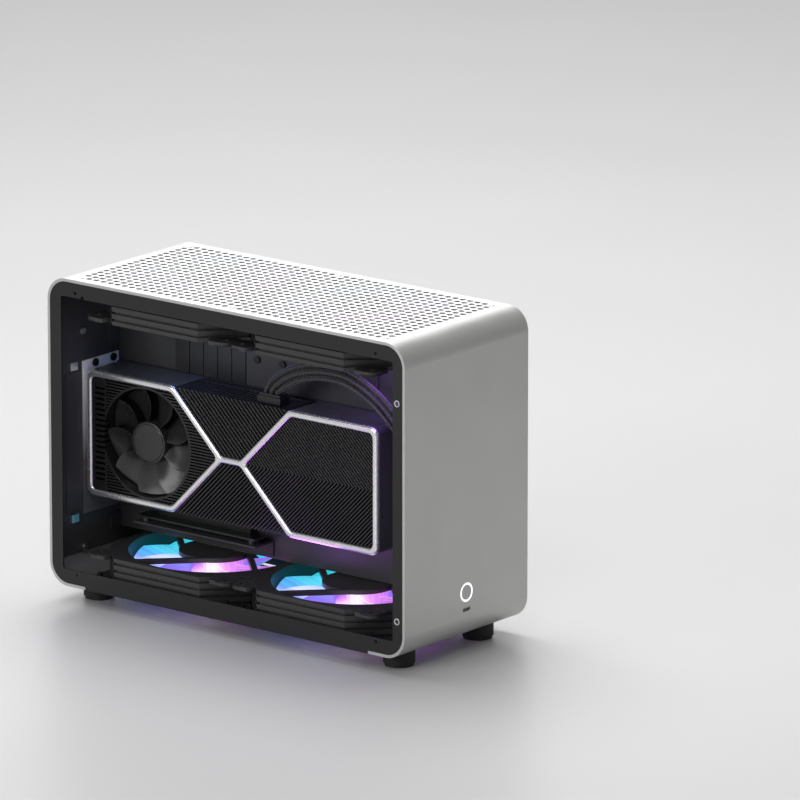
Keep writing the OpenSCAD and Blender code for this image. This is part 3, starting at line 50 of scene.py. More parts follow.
class Graph:
    """Short calls that add and link the shader nodes of one material. A value is a number or (node, output)."""

    def __init__(self, name):
        self.mat = bpy.data.materials.new(name)
        self.mat.use_nodes = True
        self.tree = self.mat.node_tree
        self.tree.nodes.clear()
        self.out = self.add("ShaderNodeOutputMaterial")
        self.bsdf = self.add("ShaderNodeBsdfPrincipled")
        self.link(self.bsdf, 0, self.out, "Surface")
        self.coords = self.add("ShaderNodeTexCoord")

    def add(self, kind, **settings):
        node = self.tree.nodes.new(kind)
        for key, value in settings.items():
            setattr(node, key, value)
        return node

    def link(self, a, out, b, socket):
        self.tree.links.new(a.outputs[out], b.inputs[socket])

    def put(self, node, socket, value):
        if isinstance(value, tuple) and len(value) == 2 and isinstance(value[0], bpy.types.Node):
            self.link(value[0], value[1], node, socket)
        else:
            node.inputs[socket].default_value = value

    def finish(self, **sockets):
        """Sets or links sockets of the shader, with _ for the spaces in their names."""
        for socket, value in sockets.items():
            self.put(self.bsdf, socket.replace("_", " "), value)

    def split(self, node=None, out="Object"):
        """The x, y and z of a vector, by default of the place on the object."""
        parts = self.add("ShaderNodeSeparateXYZ")
        self.link(node or self.coords, out, parts, 0)
        return parts

    def math(self, op, a, b=0.0, clamp=False):
        node = self.add("ShaderNodeMath", operation=op, use_clamp=clamp)
        self.put(node, 0, a)
        self.put(node, 1, b)
        return (node, 0)

    def noise(self, scale, detail=3.0, rough=0.55, stretch=None):
        node = self.add("ShaderNodeTexNoise")
        node.inputs["Scale"].default_value = scale
        node.inputs["Detail"].default_value = detail
        node.inputs["Roughness"].default_value = rough
        if stretch:
            mapping = self.add("ShaderNodeMapping")
            mapping.inputs["Scale"].default_value = stretch
            self.link(self.coords, "Object", mapping, "Vector")
            self.link(mapping, 0, node, "Vector")
        else:
            self.link(self.coords, "Object", node, "Vector")
        return (node, 0)

    def span(self, value, low, high, to_low=0.0, to_high=1.0):
        node = self.add("ShaderNodeMapRange")
        for socket, v in (("Value", value), ("From Min", low), ("From Max", high),
                          ("To Min", to_low), ("To Max", to_high)):
            self.put(node, socket, v)
        return (node, 0)

    def mix(self, factor, a, b, kind="MIX"):
        node = self.add("ShaderNodeMix", data_type="RGBA", blend_type=kind)
        self.put(node, 0, factor)
        for socket, v in ((6, a), (7, b)):
            self.put(node, socket, v if isinstance(v[0], bpy.types.Node) else (*v, 1))
        return (node, 2)

    def cover(self, amount, colour):
        """Lays a colour over the base colour that is there."""
        below = self.bsdf.inputs["Base Color"].links[0].from_socket
        covered = self.mix(amount, (0, 0, 0), colour)
        self.tree.links.new(below, covered[0].inputs[6])
        self.finish(Base_Color=covered)

    def ramp(self, value, stops, smooth="LINEAR"):
        node = self.add("ShaderNodeValToRGB")
        node.color_ramp.interpolation = smooth
        ends = node.color_ramp.elements
        ends[0].position, ends[-1].position = stops[0][0], stops[-1][0]
        ends[0].color, ends[-1].color = (*stops[0][1], 1), (*stops[-1][1], 1)
        for at, colour in stops[1:-1]:
            ends.new(at).color = (*colour, 1)
        self.put(node, 0, value)
        return (node, 0)

    def bump(self, height, strength, distance, normal=None):
        node = self.add("ShaderNodeBump")
        node.inputs["Strength"].default_value = strength
        node.inputs["Distance"].default_value = distance
        self.put(node, "Height", height)
        if normal:
            self.put(node, "Normal", normal)
        return (node, 0)

    def edge(self, radius):
        """A rounded normal, and a mask that is 1 on edges and 0 on flat faces."""
        bevel = self.add("ShaderNodeBevel", samples=4)
        bevel.inputs["Radius"].default_value = radius
        geometry = self.add("ShaderNodeNewGeometry")
        dot = self.add("ShaderNodeVectorMath", operation="DOT_PRODUCT")
        self.link(bevel, 0, dot, 0)
        self.link(geometry, "Normal", dot, 1)
        return (bevel, 0), self.span((dot, "Value"), 0.995, 0.80)


def surface(name, colour, rough, metal=0.0, grain=900.0, grain_depth=0.00002, grain_strength=0.3,
            tone=0.08, tone_scale=14.0, rough_vary=0.08, wear=0.0, wear_colour=(0.6, 0.6, 0.6),
            soft=0.0004, coat=0.0, brushed=None):
    """A finish with a cloudy tone, fine grain and uneven gloss, and edges worn and rounded by soft."""
    g = Graph(name)
    cloud = g.noise(tone_scale, 4.0, 0.6)
    fine = g.noise(grain, 2.0, 0.6, brushed)
    low = tuple(c * (1 - tone) for c in colour)
    high = tuple(min(1.0, c * (1 + tone)) for c in colour)
    base = g.mix(g.span(cloud, 0.3, 0.7), low, high)
    speck = g.span(fine, 0.35, 0.7, 1 - tone * 0.6, 1 + tone * 0.6)
    shade = g.mix(1.0, base, speck, "MULTIPLY")
    rounded, mask = g.edge(soft) if soft else (None, None)
    if wear:
        patch = g.span(g.noise(60.0, 3.0), 0.38, 0.62, 0.25, 1.0)
        worn = g.math("MULTIPLY", g.math("MULTIPLY", mask, patch), wear, clamp=True)
        shade = g.mix(worn, shade, wear_colour)
    g.finish(Base_Color=shade, Metallic=metal)
    if coat:
        g.finish(Coat_Weight=coat, Coat_Roughness=0.2)
    gloss = g.span(g.noise(tone_scale * 3.1, 5.0), 0.3, 0.7, rough - rough_vary, rough + rough_vary)
    g.finish(Roughness=gloss, Normal=g.bump(fine, grain_strength, grain_depth, rounded))
    return g


def paint(g, *names):
    for name in names:
        for s in nodes[name].material_slots:
            s.material = g.mat


# ---------- materials ----------

silver = surface("anodised_silver", (0.62, 0.62, 0.615), 0.42, metal=0.75, grain=2600, grain_depth=0.00003,
                 grain_strength=0.22, tone=0.025, tone_scale=9, rough_vary=0.04, wear=0.25,
                 wear_colour=(0.86, 0.86, 0.86), soft=0.0006)
frame_dark = surface("frame_grey", (0.018, 0.018, 0.019), 0.46, metal=0.35, grain=1800, grain_strength=0.35,
                     tone=0.07, wear=0.30, wear_colour=(0.12, 0.12, 0.12), soft=0.0004)
steel_black = surface("black_powder", (0.045, 0.045, 0.046), 0.46, grain=1500, grain_depth=0.00004,
                      grain_strength=0.45, tone=0.10, wear=0.35, wear_colour=(0.11, 0.11, 0.115))
fan_black = surface("fan_black", (0.030, 0.030, 0.031), 0.40, grain=1300, grain_depth=0.00003,
                    grain_strength=0.35, tone=0.08, wear=0.55, wear_colour=(0.10, 0.10, 0.105), soft=0.0006)
rubber = surface("rubber_black", (0.012, 0.012, 0.012), 0.72, grain=1100, grain_depth=0.00005,
                 grain_strength=0.5, tone=0.12)
trim_metal = surface("trim_silver", (0.84, 0.84, 0.85), 0.27, metal=0.9, grain=2400, grain_depth=0.00001,
                     grain_strength=0.06, tone=0.02, rough_vary=0.03, soft=0)
card_black = surface("card_black", (0.013, 0.013, 0.015), 0.38, grain=1500, grain_strength=0.25, tone=0.08,
                     wear=0.35, wear_colour=(0.055, 0.055, 0.06))
fin_black = surface("fin_black", (0.030, 0.030, 0.032), 0.32, metal=0.6, grain=1200, grain_strength=0.2,
                    tone=0.12, wear=0.6, wear_colour=(0.16, 0.16, 0.165), soft=0.0003)
board_green = surface("board_dark", (0.010, 0.018, 0.013), 0.33, grain=500, grain_strength=0.3, tone=0.25,
                      tone_scale=60, coat=0.3)
screw_bright = surface("screw_bright", (0.66, 0.66, 0.66), 0.28, metal=0.9, grain=900, grain_strength=0.15,
                       tone=0.05, wear=0.3, soft=0.0005)
screw_dark = surface("screw_dark", (0.03, 0.03, 0.03), 0.35, metal=0.6, grain=900, tone=0.1, wear=0.4,
                     wear_colour=(0.15, 0.15, 0.15))
port_metal = surface("port_metal", (0.42, 0.42, 0.43), 0.30, metal=0.9, grain=500, grain_strength=0.12,
                     tone=0.06, brushed=(1, 1, 12))
brass = surface("brass", (0.55, 0.38, 0.14), 0.30, metal=1.0, grain=900, tone=0.06)
cooler_metal = surface("cooler_metal", (0.16, 0.16, 0.165), 0.35, metal=0.85, grain=700, tone=0.08,
                       brushed=(1, 1, 14))
plug_black = surface("plug_black", (0.010, 0.010, 0.010), 0.42, grain=1000, tone=0.1, wear=0.3,
                     wear_colour=(0.05, 0.05, 0.05))
ribbon_black = surface("ribbon_black", (0.020, 0.020, 0.021), 0.40, grain=700, grain_depth=0.00005,
                       grain_strength=0.5, tone=0.12, brushed=(1, 14, 1), coat=0.15)
button_metal = surface("button_metal", (0.50, 0.50, 0.495), 0.36, metal=0.8, grain=2200, grain_strength=0.2,
                       tone=0.03, wear=0.3)
shell_silver_with_painted_glow = surface("anodised_shell_painted_glow", (0.55, 0.55, 0.543), 0.40, metal=0.70, grain=2600,
                       grain_depth=0.00003, grain_strength=0.22, tone=0.02, tone_scale=9, rough_vary=0.04,
                       wear=0.25, wear_colour=(0.88, 0.88, 0.88), soft=0.0006)
bracket_silver = surface("bracket_silver", (0.88, 0.88, 0.885), 0.36, metal=0.1, grain=1400,
                         grain_strength=0.15, tone=0.04, wear=0.25, wear_colour=(0.8, 0.8, 0.8))
shroud_grey = surface("shroud_grey", (0.125, 0.125, 0.140), 0.36, metal=0.60, grain=1700, grain_strength=0.2,
                      tone=0.06, wear=0.4, wear_colour=(0.28, 0.28, 0.30))
rotor_black = surface("rotor_black", (0.016, 0.016, 0.017), 0.30, grain=1500, grain_strength=0.2, tone=0.08,
                      wear=0.3, wear_colour=(0.09, 0.09, 0.095), coat=0.15)

# Painted shade: the card's bracket's base colour is darkened towards its foot, where it lies in shadow
bracket_silver.cover(bracket_silver.span((bracket_silver.split(), 2), 0.172, 0.10), (0.12, 0.12, 0.122))


def fan_glow(g, y, white):
    """The lamps' colour by angle about a fan centred on y: cyan at the far side, violet and pink at the near
    one, with whitish cores. Returns that colour, the radius, a noise by angle, and the split place."""
    place = g.split()
    off = g.math("SUBTRACT", (place, 1), y)
    angle = g.math("ARCTAN2", off, (place, 0))
    turn = g.math("FRACT", g.math("ADD", g.math("DIVIDE", angle, 2 * math.pi), 1.0))
    hue = g.ramp(turn, [(0.0, (0.03, 0.50, 0.80)), (0.13, (0.01, 0.55, 0.66)), (0.25, (0.01, 0.50, 0.70)),
                        (0.28, (0.03, 0.38, 0.85)), (0.325, (0.13, 0.28, 0.90)), (0.40, (0.15, 0.22, 0.85)),
                        (0.46, (0.20, 0.08, 0.62)), (0.52, (0.50, 0.16, 0.78)), (0.59, (0.88, 0.45, 0.95)),
                        (0.66, (0.74, 0.22, 0.84)), (0.77, (0.55, 0.11, 0.70)), (0.86, (0.28, 0.10, 0.80)),
                        (0.94, (0.07, 0.28, 0.85)), (1.0, (0.03, 0.50, 0.80))])
    flare = g.ramp(turn, [(0.0, (0, 0, 0)), (0.29, (0, 0, 0)), (0.335, (0.7, 0.7, 0.7)), (0.39, (0, 0, 0)),
                          (0.52, (0, 0, 0)), (0.585, (1, 1, 1)), (0.67, (0.15, 0.15, 0.15)),
                          (1.0, (0, 0, 0))], "EASE")
    squares = g.math("ADD", g.math("MULTIPLY", (place, 0), (place, 0)), g.math("MULTIPLY", off, off))
    radius = g.math("SQRT", squares)
    streak = g.add("ShaderNodeTexNoise", noise_dimensions="1D")
    g.put(streak, "W", turn)
    streak.inputs["Scale"].default_value = 95
    streak.inputs["Detail"].default_value = 2
    core = g.math("MULTIPLY", flare, white, clamp=True)
    return g.mix(core, hue, (0.92, 0.88, 1.0)), radius, (streak, 0), place


def lit_blades(name, centre_y, level, below):
    """Frosted blades that glow in the colours of the lamps round the fan, at level on their upper faces and
    at that times below on their undersides."""
    g = Graph(name)
    colour, radius, streak, place = fan_glow(g, centre_y, 0.75)
    inner = g.span(radius, 0.0205, 0.0216, 0.0, 1.0)
    fade = g.span(radius, 0.026, 0.066, 1.0, 0.72)
    ripple = g.span(streak, 0.3, 0.7, 0.80, 1.15)
    cloud = g.span(g.noise(55, 3.0), 0.3, 0.7, 0.88, 1.08)
    normal = g.split(g.add("ShaderNodeNewGeometry"), "Normal")
    up = g.span((normal, 2), -0.2, 0.5, below, 1.0)
    strength = g.math("MULTIPLY", g.math("MULTIPLY", fade, cloud), g.math("MULTIPLY", up, level))
    strength = g.math("MULTIPLY", g.math("MULTIPLY", strength, inner), ripple)
    g.finish(Base_Color=g.mix(inner, (0.012, 0.012, 0.013), (0.30, 0.32, 0.36)),
             Roughness=g.span(g.noise(140, 3.0), 0.3, 0.7, 0.34, 0.46),
             Emission_Color=colour, Emission_Strength=strength,
             Normal=g.bump(g.noise(900, 2.0), 0.2, 0.00002))
    return g


def paint_lamp_glow_on_top(g):
    """Painted light: a faint wash of the fans' lamp colours, painted into the base colour of the perforated part
    of the shell's top where their glow shows.
    """
    front, rear = (fan_glow(g, y, 0.3) for y in (-FAN_Y, FAN_Y))
    place = front[3]
    colour = g.mix(g.math("GREATER_THAN", (place, 1), 0.0), front[0], rear[0])
    radius = g.math("MINIMUM", front[1], rear[1])
    near = g.math("MULTIPLY", g.span(radius, 0.006, 0.03), g.span(radius, 0.066, 0.094, 1.0, 0.0))
    high = g.span((place, 2), 0.2655, 0.2662)
    cloud = g.span(g.noise(16, 2.0), 0.35, 0.65, 0.22, 0.42)
    amount = g.math("MULTIPLY", g.math("MULTIPLY", near, high), cloud)
    g.cover(amount, g.mix(0.45, colour, (0.58, 0.58, 0.58)))


def light_ring():
    g = Graph("light_ring")
    g.finish(Base_Color=(0.9, 0.9, 0.92, 1), Roughness=0.3, Emission_Strength=1.0,
             Emission_Color=g.mix(g.span(g.noise(400, 2.0), 0.3, 0.7), (0.92, 0.95, 1.0), (1.0, 1.0, 1.0)))
    return g


paint(silver, "right_side_panel")
paint(frame_dark, "side_frame_left", "side_frame_right")
paint(steel_black, "rear_panel", "slot_cover", "bottom_panel", "top_fan_bracket", "divider_plate",
      "divider_cover", "psu_case", "psu_bracket", "riser_bracket")
paint(screw_bright, "rear_screws", "top_screws", "slot_clips", "snap_sockets", "panel_studs", "front_posts")
paint(screw_dark, "divider_screws", "fan_screws", "gpu_bracket_screws")
paint(rubber, "feet", "foot_pads", "fan_pads")
paint(board_green, "motherboard", "gpu_board", "riser_board", "front_io_board")
paint(port_metal, "io_shield", "io_ports", "usb_port")
paint(bracket_silver, "gpu_bracket")
paint(brass, "standoffs")
paint(cooler_metal, "cpu_cooler")
paint(plug_black, "power_plugs", "power_inlet", "riser_slot", "ram_sticks", "gpu_power_cables")
paint(ribbon_black, "riser_ribbon")
paint(button_metal, "power_button")
paint(trim_metal, "gpu_trim")
paint(shroud_grey, "gpu_shroud")
paint(card_black, "gpu_backplate")
paint(rotor_black, "gpu_rotor")
paint(fin_black, "gpu_fins_rear", "gpu_fins_middle", "gpu_fins_front")
paint(fan_black, "fan_frame_1", "fan_frame_2", "fan_frame_3", "fan_frame_4", "cooler_rotor", "psu_rotor")
for k, (y, level, below) in enumerate(((-FAN_Y, 1.4, 0.6), (FAN_Y, 1.4, 0.6),
                                       (-FAN_Y, 1.2, 0.3), (FAN_Y, 1.2, 0.3)), 1):
    paint(lit_blades("lit_blades_%d" % k, y, level, below), "fan_rotor_%d" % k)
# Painted light: the fans' glow is painted into the colour of the shell's perforated top
paint_lamp_glow_on_top(shell_silver_with_painted_glow)
paint(shell_silver_with_painted_glow, "outer_shell")
paint(light_ring(), "button_ring")


# ---------- pieces that stand for plain CAD solids ----------

def mesh_piece(name, verts, faces, mat, body, stands_for=()):
    mesh = bpy.data.meshes.new(name)
    mesh.from_pydata([tuple(v) for v in verts], [], faces)
    mesh.update()
    piece = bpy.data.objects.new(name, mesh)
    scene.collection.objects.link(piece)
    mesh.materials.append(mat)
    for polygon in mesh.polygons:
        polygon.use_smooth = True
    mesh.set_sharp_from_angle(angle=math.radians(40))
    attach(piece, body)
    if stands_for:
        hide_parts(*stands_for)
    return piece


def lathe(profile, steps, verts, faces):
    """Adds a closed turned solid: profile is (radius, height) pairs, from axis to axis."""
    rings = []
    for r, z in profile:
        if r < 1e-7:
            rings.append([len(verts)])
            verts.append(Vector((0, 0, z)))
        else:
            rings.append(list(range(len(verts), len(verts) + steps)))
            for i in range(steps):
                a = 2 * math.pi * i / steps
                verts.append(Vector((r * math.cos(a), r * math.sin(a), z)))
    for a, b in zip(rings, rings[1:]):
        for i in range(steps):
            j = (i + 1) % steps
            if len(a) == 1:
                faces.append((a[0], b[j], b[i]))
            elif len(b) == 1:
                faces.append((a[i], a[j], b[0]))
            else:
                faces.append((a[i], a[j], b[j], b[i]))


def blade(inner, outer, rise, sweep, bulge, chord, turn, verts, faces):
    """Adds one swept blade with thin rounded edges. Its angles and its chord at root and tip are in degrees,
    and rise is the heights of its trailing and leading edge."""
    camber, thick = 0.0012, 0.0015
    nu, nv = 18, 12
    first = len(verts)
    row = nv + 1
    for side in (-1, 1):
        for i in range(nu + 1):
            u = i / nu
            r = inner + (outer - inner) * u
            width = chord[0] + (chord[1] - chord[0]) * u
            for j in range(row):
                v = j / nv
                a = math.radians(turn + sweep * u ** 1.4 + bulge * math.sin(math.pi * u) + (v - 0.5) * width)
                z = rise[0] + (rise[1] - rise[0]) * (1 - v) + camber * 4 * v * (1 - v) + thick / 2
                half = thick / 2 * (0.25 + 0.75 * min(1.0, 6 * v * (1 - v)) ** 0.5)
                verts.append(Vector((r * math.cos(a), r * math.sin(a), z + side * half)))
    n = (nu + 1) * row
    for i in range(nu):
        for j in range(nv):
            c = first + i * row + j
            faces.append((c, c + row, c + row + 1, c + 1))
            faces.append((c + n, c + n + 1, c + n + row + 1, c + n + row))
    edge = (list(range(nv)) + [i * row + nv for i in range(nu)] + [nu * row + j for j in range(nv, 0, -1)]
            + [i * row for i in range(nu, 0, -1)])
    for k, a in enumerate(edge):
        b = edge[(k + 1) % len(edge)]
        faces.append((first + a, first + b, first + b + n, first + a + n))


def wheel(name, place, hub, tip, height, shaft, sweep, bulge, chord, mat, body, node, face=()):
    """The hub cup and blades of a fan, put in place by that matrix, for the CAD node. hub, tip and shaft are
    radii, and face is the profile of a groove in the cup's face."""
    verts, faces = [], []
    wall, floor_top = 0.0018, 0.0022
    boss, boss_top = shaft + 0.0025, height - 0.0005
    cup = [(0, 0.0004), *face, (hub - 0.0006, 0), (hub - 0.0002, 0.0002), (hub, 0.0007), (hub, height),
           (hub - wall, height), (hub - wall, floor_top), (boss, floor_top), (boss, boss_top), (0, boss_top)]
    lathe(cup, 96, verts, faces)
    for k in range(BLADES):
        blade(hub - 0.0005, tip, (0.0006, height - 0.0032), sweep, bulge, chord, k * 360 / BLADES, verts,
              faces)
    verts = [place @ v for v in verts]
    mesh_piece(name, verts, faces, mat, body, (node,))


def fans():
    share = 360 / BLADES
    for k, (y, z) in enumerate(((-FAN_Y, LOW_FAN), (FAN_Y, LOW_FAN), (-FAN_Y, HIGH_FAN), (FAN_Y, HIGH_FAN)), 1):
        mat = nodes["fan_rotor_%d" % k].material_slots[0].material
        place = Matrix.Translation((0, y, z + FOOT + 0.002))
        wheel("fan_wheel_%d" % k, place, 0.022, 0.0653, 0.018, 0.002, 34, 0, (share * 0.9, share * 0.86), mat,
              "fan_%d" % k, "fan_rotor_%d" % k)
    place = Matrix.Translation((-0.0325, 0.109, 0.11195 + FOOT)) @ Matrix.Rotation(math.pi / 2, 4, "Y")
    groove = [(0.0138, 0.0004), (0.0142, 0.0009), (0.0150, 0.0009), (0.0154, 0)]
    wheel("card_fan_wheel", place, 0.0164, 0.0413, 0.013, 0.0015, -6, 6, (share * 0.96, share * 1.02),
          rotor_black.mat, "gpu_fan", "gpu_rotor", groove)


def inset_outline(points, inset):
    """A closed outline moved inwards by inset; its points run counter-clockwise."""
    out = []
    for i, b in enumerate(points):
        a, c = points[i - 1], points[(i + 1) % len(points)]
        d, e = (b - a).normalized(), (c - b).normalized()
        n, m = Vector((-d.y, d.x)), Vector((-e.y, e.x))
        out.append(b + (n + m) * inset / (1 + n.dot(m)))
    return out


def round_corners(points, radii, inset, steps=9):
    """The outline moved inwards, with an arc of steps + 1 points at each corner."""
    out = []
    moved = inset_outline(points, inset)
    for i, b in enumerate(moved):
        a, c = moved[i - 1], moved[(i + 1) % len(moved)]
        d, e = (a - b).normalized(), (c - b).normalized()
        radius = radii[i] + (inset if e.cross(d) < 0 else -inset)
        half = math.acos(max(-1.0, min(1.0, d.dot(e)))) / 2
        centre = b + (d + e).normalized() * radius / math.sin(half)
        start = b + d * radius / math.tan(half) - centre
        end = b + e * radius / math.tan(half) - centre
        sweep = math.atan2(start.cross(end), start.dot(end))
        for k in range(steps + 1):
            t = sweep * k / steps
            out.append(centre + Vector((start.x * math.cos(t) - start.y * math.sin(t),
                                        start.x * math.sin(t) + start.y * math.cos(t))))
    return out


def card_trim():
    """The bright bar round the card's two windows, with rounded edges."""
    rear, front, low, high, mid = 0.168, -0.117, 0.0748, 0.1741, 0.12445
    wing, half, bar = 0.08635, 0.00275, 0.0055
    slant = high - mid
    rear_top, front_top = rear - wing, front + wing
    rear_tip, front_tip = rear_top - slant + half, front_top + slant - half
    outer = [(rear, low), (rear, high), (rear_top, high), (rear_tip, mid + half), (front_tip, mid + half),
             (front_top, high), (front, high), (front, low), (front_top, low), (front_tip, mid - half),
             (rear_tip, mid - half), (rear_top, low)]
    bends = [0.007, 0.007, 0.008, 0.005, 0.005, 0.008, 0.007, 0.007, 0.008, 0.005, 0.005, 0.008]
    windows = [([(rear, low), (rear, high), (rear_top, high), (rear_top - slant, mid), (rear_top, low)],
                [0.004, 0.004, 0.008, 0.003, 0.008]),
               ([(front, low), (front_top, low), (front_top + slant, mid), (front_top, high), (front, high)],
                [0.004, 0.008, 0.003, 0.008, 0.004])]
    loops = [([Vector(q) for q in outer], bends, 1)]
    for points, radii in windows:
        loops.append((inset_outline([Vector(q) for q in points], bar), radii, -1))

    # From the bar's back to its face: x, and how far the outline draws in. A crown from 0.0024 on closes
    # the waist between the windows
    back, face, play, crown = -0.0335, -0.0365, 0.00015, 0.0020
    levels = [(back, play), (face + crown, play)]
    for t in (math.radians(15 * k) for k in range(1, 7)):
        levels.append((face + crown * (1 - math.sin(t)), play + crown * (1 - math.cos(t))))
    levels.append((face, play + crown + 0.0002))
    verts, faces, rows = [], [], []
    for x, inset in levels:
        row = []
        for points, radii, sign in loops:
            outline = round_corners(points, radii, sign * inset)
            row.append(list(range(len(verts), len(verts) + len(outline))))
            verts += [Vector((x, q.x, q.y)) for q in outline]
        rows.append(row)
    for low_row, high_row in zip(rows, rows[1:]):
        for a, b in zip(low_row, high_row):
            for i in range(len(a)):
                j = (i + 1) % len(a)
                faces.append((a[i], a[j], b[j], b[i]))
    for row in (rows[0], rows[-1]):
        index = [i for outline in row for i in outline]
        for triangle in tessellate_polygon([[verts[i] for i in outline] for outline in row]):
            faces.append(tuple(index[i] for i in triangle))
    piece = mesh_piece("card_trim", verts, faces, trim_metal.mat, "case", ("gpu_trim",))
    work = bmesh.new()
    work.from_mesh(piece.data)
    bmesh.ops.recalc_face_normals(work, faces=work.faces)
    work.to_mesh(piece.data)
    work.free()


fans()
card_trim()


# ---------- the card's power cables ----------

# Stops of the bundle's route in part.scad, in millimetres above the body's underside, each with the way in
# which the bundle is spread there
START = Vector((-24.5, -7.5, 168.6))
END = Vector((27.5, -138.0, 117.0))
ROUTE = [(START, (0, 1, 0)), (START + Vector((0, -3, 6)), (0, 1, 0.3)),
         (START + Vector((0, -14, 14)), (0, 0.6, 0.8)), (START + Vector((0, -30, 21)), (0, 0.4, 0.9)),
         (START + Vector((0, -52, 25)), (0, 0, 1)), (START + Vector((0, -75, 23)), (0, 0, 1)),
         (START + Vector((1, -98, 12)), (0, -0.5, 1)), (START + Vector((2, -117, -4)), (0, -0.9, 0.6)),
         (Vector((-18.5, -134, 149)), (0, -1, 0)), (Vector((-5.5, -142, 131)), (0, -1, 0)),
         (END + Vector((-19, -15, 4)), (0, -1, 0)), (END + Vector((-6, -17, 0.5)), (0.4, -1, 0)),
         (END + Vector((0, -9, 0)), (1, -0.2, 0)), (END, (1, 0, 0))]
CABLES = 5
PITCH, STAGGER = 2.7, 1.7    # millimetres from cable to cable, and of every second one to each side


def cable_line(k):
    """The points of cable k, in metres: a smooth curve through its own stops, straight at both plugs."""
    last = len(ROUTE) - 1
    stops = []
    for i, (point, wish) in enumerate(ROUTE):
        way = (Vector((0, 0, 1)) if i == 0 else Vector((0, 1, 0)) if i == last
               else (ROUTE[i + 1][0] - ROUTE[i - 1][0]).normalized())
        spread = Vector(wish)
        spread = (spread - way * spread.dot(way)).normalized()
        side = way.cross(spread) * (STAGGER if k % 2 == 0 else -STAGGER)
        stops.append(point + spread * PITCH * (k - 2) + side)
    inner = stops[1:-1]

    def at(t):
        i = min(int(t), len(inner) - 2)
        u = t - i
        a, b, c, d = inner[max(i - 1, 0)], inner[i], inner[i + 1], inner[min(i + 2, len(inner) - 1)]
        return 0.5 * (2 * b + (c - a) * u + (2 * a - 5 * b + 4 * c - d) * u * u
                      + (3 * b - a - 3 * c + d) * u ** 3)

    steps = 80
    middle = [at((len(inner) - 1) * i / steps) for i in range(steps + 1)]
    line = [stops[0], stops[0] + Vector((0, 0, 2))] + middle + [stops[-1] - Vector((0, 2, 0)), stops[-1]]
    return [(p + Vector((0, 0, FOOT * 1000))) / 1000 for p in line]


def braid():
    """Woven sleeve: the weave follows the tube's own length and girth."""
    g = Graph("cable_braid")
    uv = g.split(g.add("ShaderNodeUVMap"), 0)
    crossing = [g.math(op, g.math("MULTIPLY", (uv, 0), 900.0), g.math("MULTIPLY", (uv, 1), 6 * math.pi))
                for op in ("ADD", "SUBTRACT")]
    weave = g.math("MULTIPLY", g.math("SINE", crossing[0]), g.math("SINE", crossing[1]))
    g.finish(Base_Color=g.mix(g.span(weave, -0.7, 0.7), (0.006, 0.006, 0.007), (0.026, 0.026, 0.030)),
             Roughness=g.span(g.noise(120, 2.0), 0.3, 0.7, 0.36, 0.5),
             Normal=g.bump(weave, 0.5, 0.0002), Sheen_Weight=0.3)
    return g


def tube(line, radius, sides):
    """A round tube along a line, closed at its ends: vertices, faces, a uv for each face corner, length."""
    verts, faces, uvs, rows = [], [], [], []
    normal = Vector((1, 0, 0))
    travelled = 0.0
    for i, p in enumerate(line):
        ahead = (line[min(i + 1, len(line) - 1)] - line[max(i - 1, 0)]).normalized()
        normal = (normal - ahead * normal.dot(ahead)).normalized()
        other = ahead.cross(normal)
        if i:
            travelled += (p - line[i - 1]).length
        rows.append(travelled)
        for j in range(sides):
            a = 2 * math.pi * j / sides
            verts.append(p + radius * (normal * math.cos(a) + other * math.sin(a)))
    for i in range(len(line) - 1):
        for j in range(sides):
            n = (j + 1) % sides
            faces.append((i * sides + j, i * sides + n, (i + 1) * sides + n, (i + 1) * sides + j))
            uvs += [(rows[i], j / sides), (rows[i], (j + 1) / sides), (rows[i + 1], (j + 1) / sides),
                    (rows[i + 1], j / sides)]
    faces.append(tuple(range(sides - 1, -1, -1)))
    faces.append(tuple(range((len(line) - 1) * sides, len(line) * sides)))
    uvs += [(0, 0)] * (2 * sides)
    return verts, faces, uvs, travelled


def cables():
    mat = braid().mat
    for k in range(CABLES):
        line = cable_line(k)
        verts, faces, uvs, travelled = tube(line, 0.0018, 20)
        cable = mesh_piece("power_cable_%d" % (k + 1), verts, faces, mat, "case", ("gpu_power_cables",))
        layer = cable.data.uv_layers.new(name="UVMap")
        for loop, uv in zip(layer.data, uvs):
            loop.uv = uv


cables()


# ---------- floor, light and camera ----------

def area(name, at, target, size, power, colour=(1, 1, 1)):
    light = bpy.data.lights.new(name, "AREA")
    light.shape = "RECTANGLE"
    light.size, light.size_y = size
    light.energy = power
    light.color = colour
    lamp = bpy.data.objects.new(name, light)
    scene.collection.objects.link(lamp)
    lamp.location = at
    lamp.rotation_euler = (Vector(target) - Vector(at)).to_track_quat("-Z", "Y").to_euler()
    return lamp


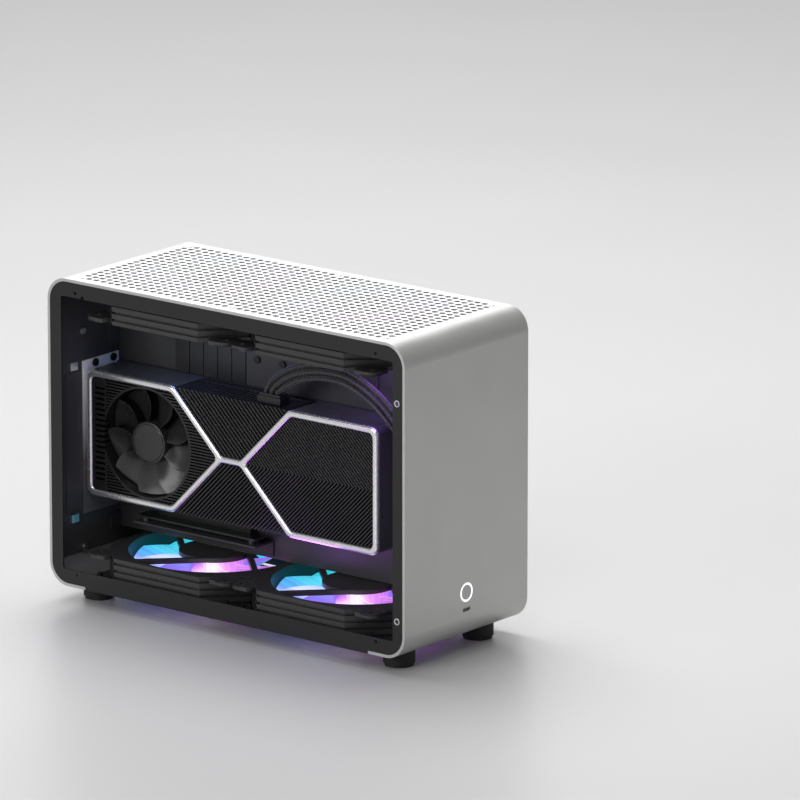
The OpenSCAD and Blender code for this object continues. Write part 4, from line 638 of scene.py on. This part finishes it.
floor_mesh = bpy.data.meshes.new("floor")
floor_mesh.from_pydata([(-30, -30, 0), (30, -30, 0), (30, 30, 0), (-30, 30, 0)], [], [(0, 1, 2, 3)])
floor = bpy.data.objects.new("floor", floor_mesh)
scene.collection.objects.link(floor)
pale = Graph("floor_pale")
pale.finish(Base_Color=pale.mix(pale.span(pale.noise(2.0, 2.0), 0.3, 0.7), (0.50, 0.50, 0.50), (0.52, 0.52, 0.52)),
            Roughness=0.42, Specular_IOR_Level=0.3)
floor_mesh.materials.append(pale.mat)

world = bpy.data.worlds.new("studio")
scene.world = world
world.use_nodes = True
background = world.node_tree.nodes["Background"]
background.inputs["Color"].default_value = (1, 1, 1, 1)
background.inputs["Strength"].default_value = 0.30

area("overhead", (0.5, 0.6, 2.3), (0, 0, 0.15), (1.8, 1.8), 60)
area("key", (-1.9, -1.15, 2.3), (0, 0, 0.14), (1.1, 1.1), 14)
area("side", (-2.6, 0.5, 1.0), (0, 0, 0.14), (1.6, 1.0), 24)
area("back", (2.6, 2.1, 1.3), (0, 0, 0.25), (2.6, 1.0), 23)
for name, at, target, power, colour in (    # what the fans' lamps throw on the cables, the card and its foot
        ("glow_cables", (-0.02, -0.125, 0.222), (-0.02, -0.125, 0.1), 0.05, (0.42, 0.16, 1.0)),
        ("glow_card", (-0.02, 0.06, 0.222), (-0.02, 0.06, 0.1), 0.014, (0.18, 0.36, 1.0)),
        ("glow_below", (-0.045, -0.03, 0.046), (-0.035, -0.03, 0.2), 0.035, (0.55, 0.15, 0.95))):
    area(name, at, target, (0.05, 0.05), power, colour).visible_camera = False

# The photo's long lens, about 51 degrees round from the front panel's normal and 15 degrees down
camera_data = bpy.data.cameras.new("camera")
camera_data.sensor_width = 36.0
camera_data.lens = 423.7
camera_data.clip_start = 0.05
camera_data.clip_end = 60.0
camera = bpy.data.objects.new("camera", camera_data)
scene.collection.objects.link(camera)
yaw, pitch = math.radians(51.23), math.radians(14.70)
camera.location = (-5.2853, -4.3544, 1.9657)
camera.rotation_euler = (math.pi / 2 - pitch, 0, -yaw)
scene.camera = camera

scene.view_settings.view_transform = "Standard"
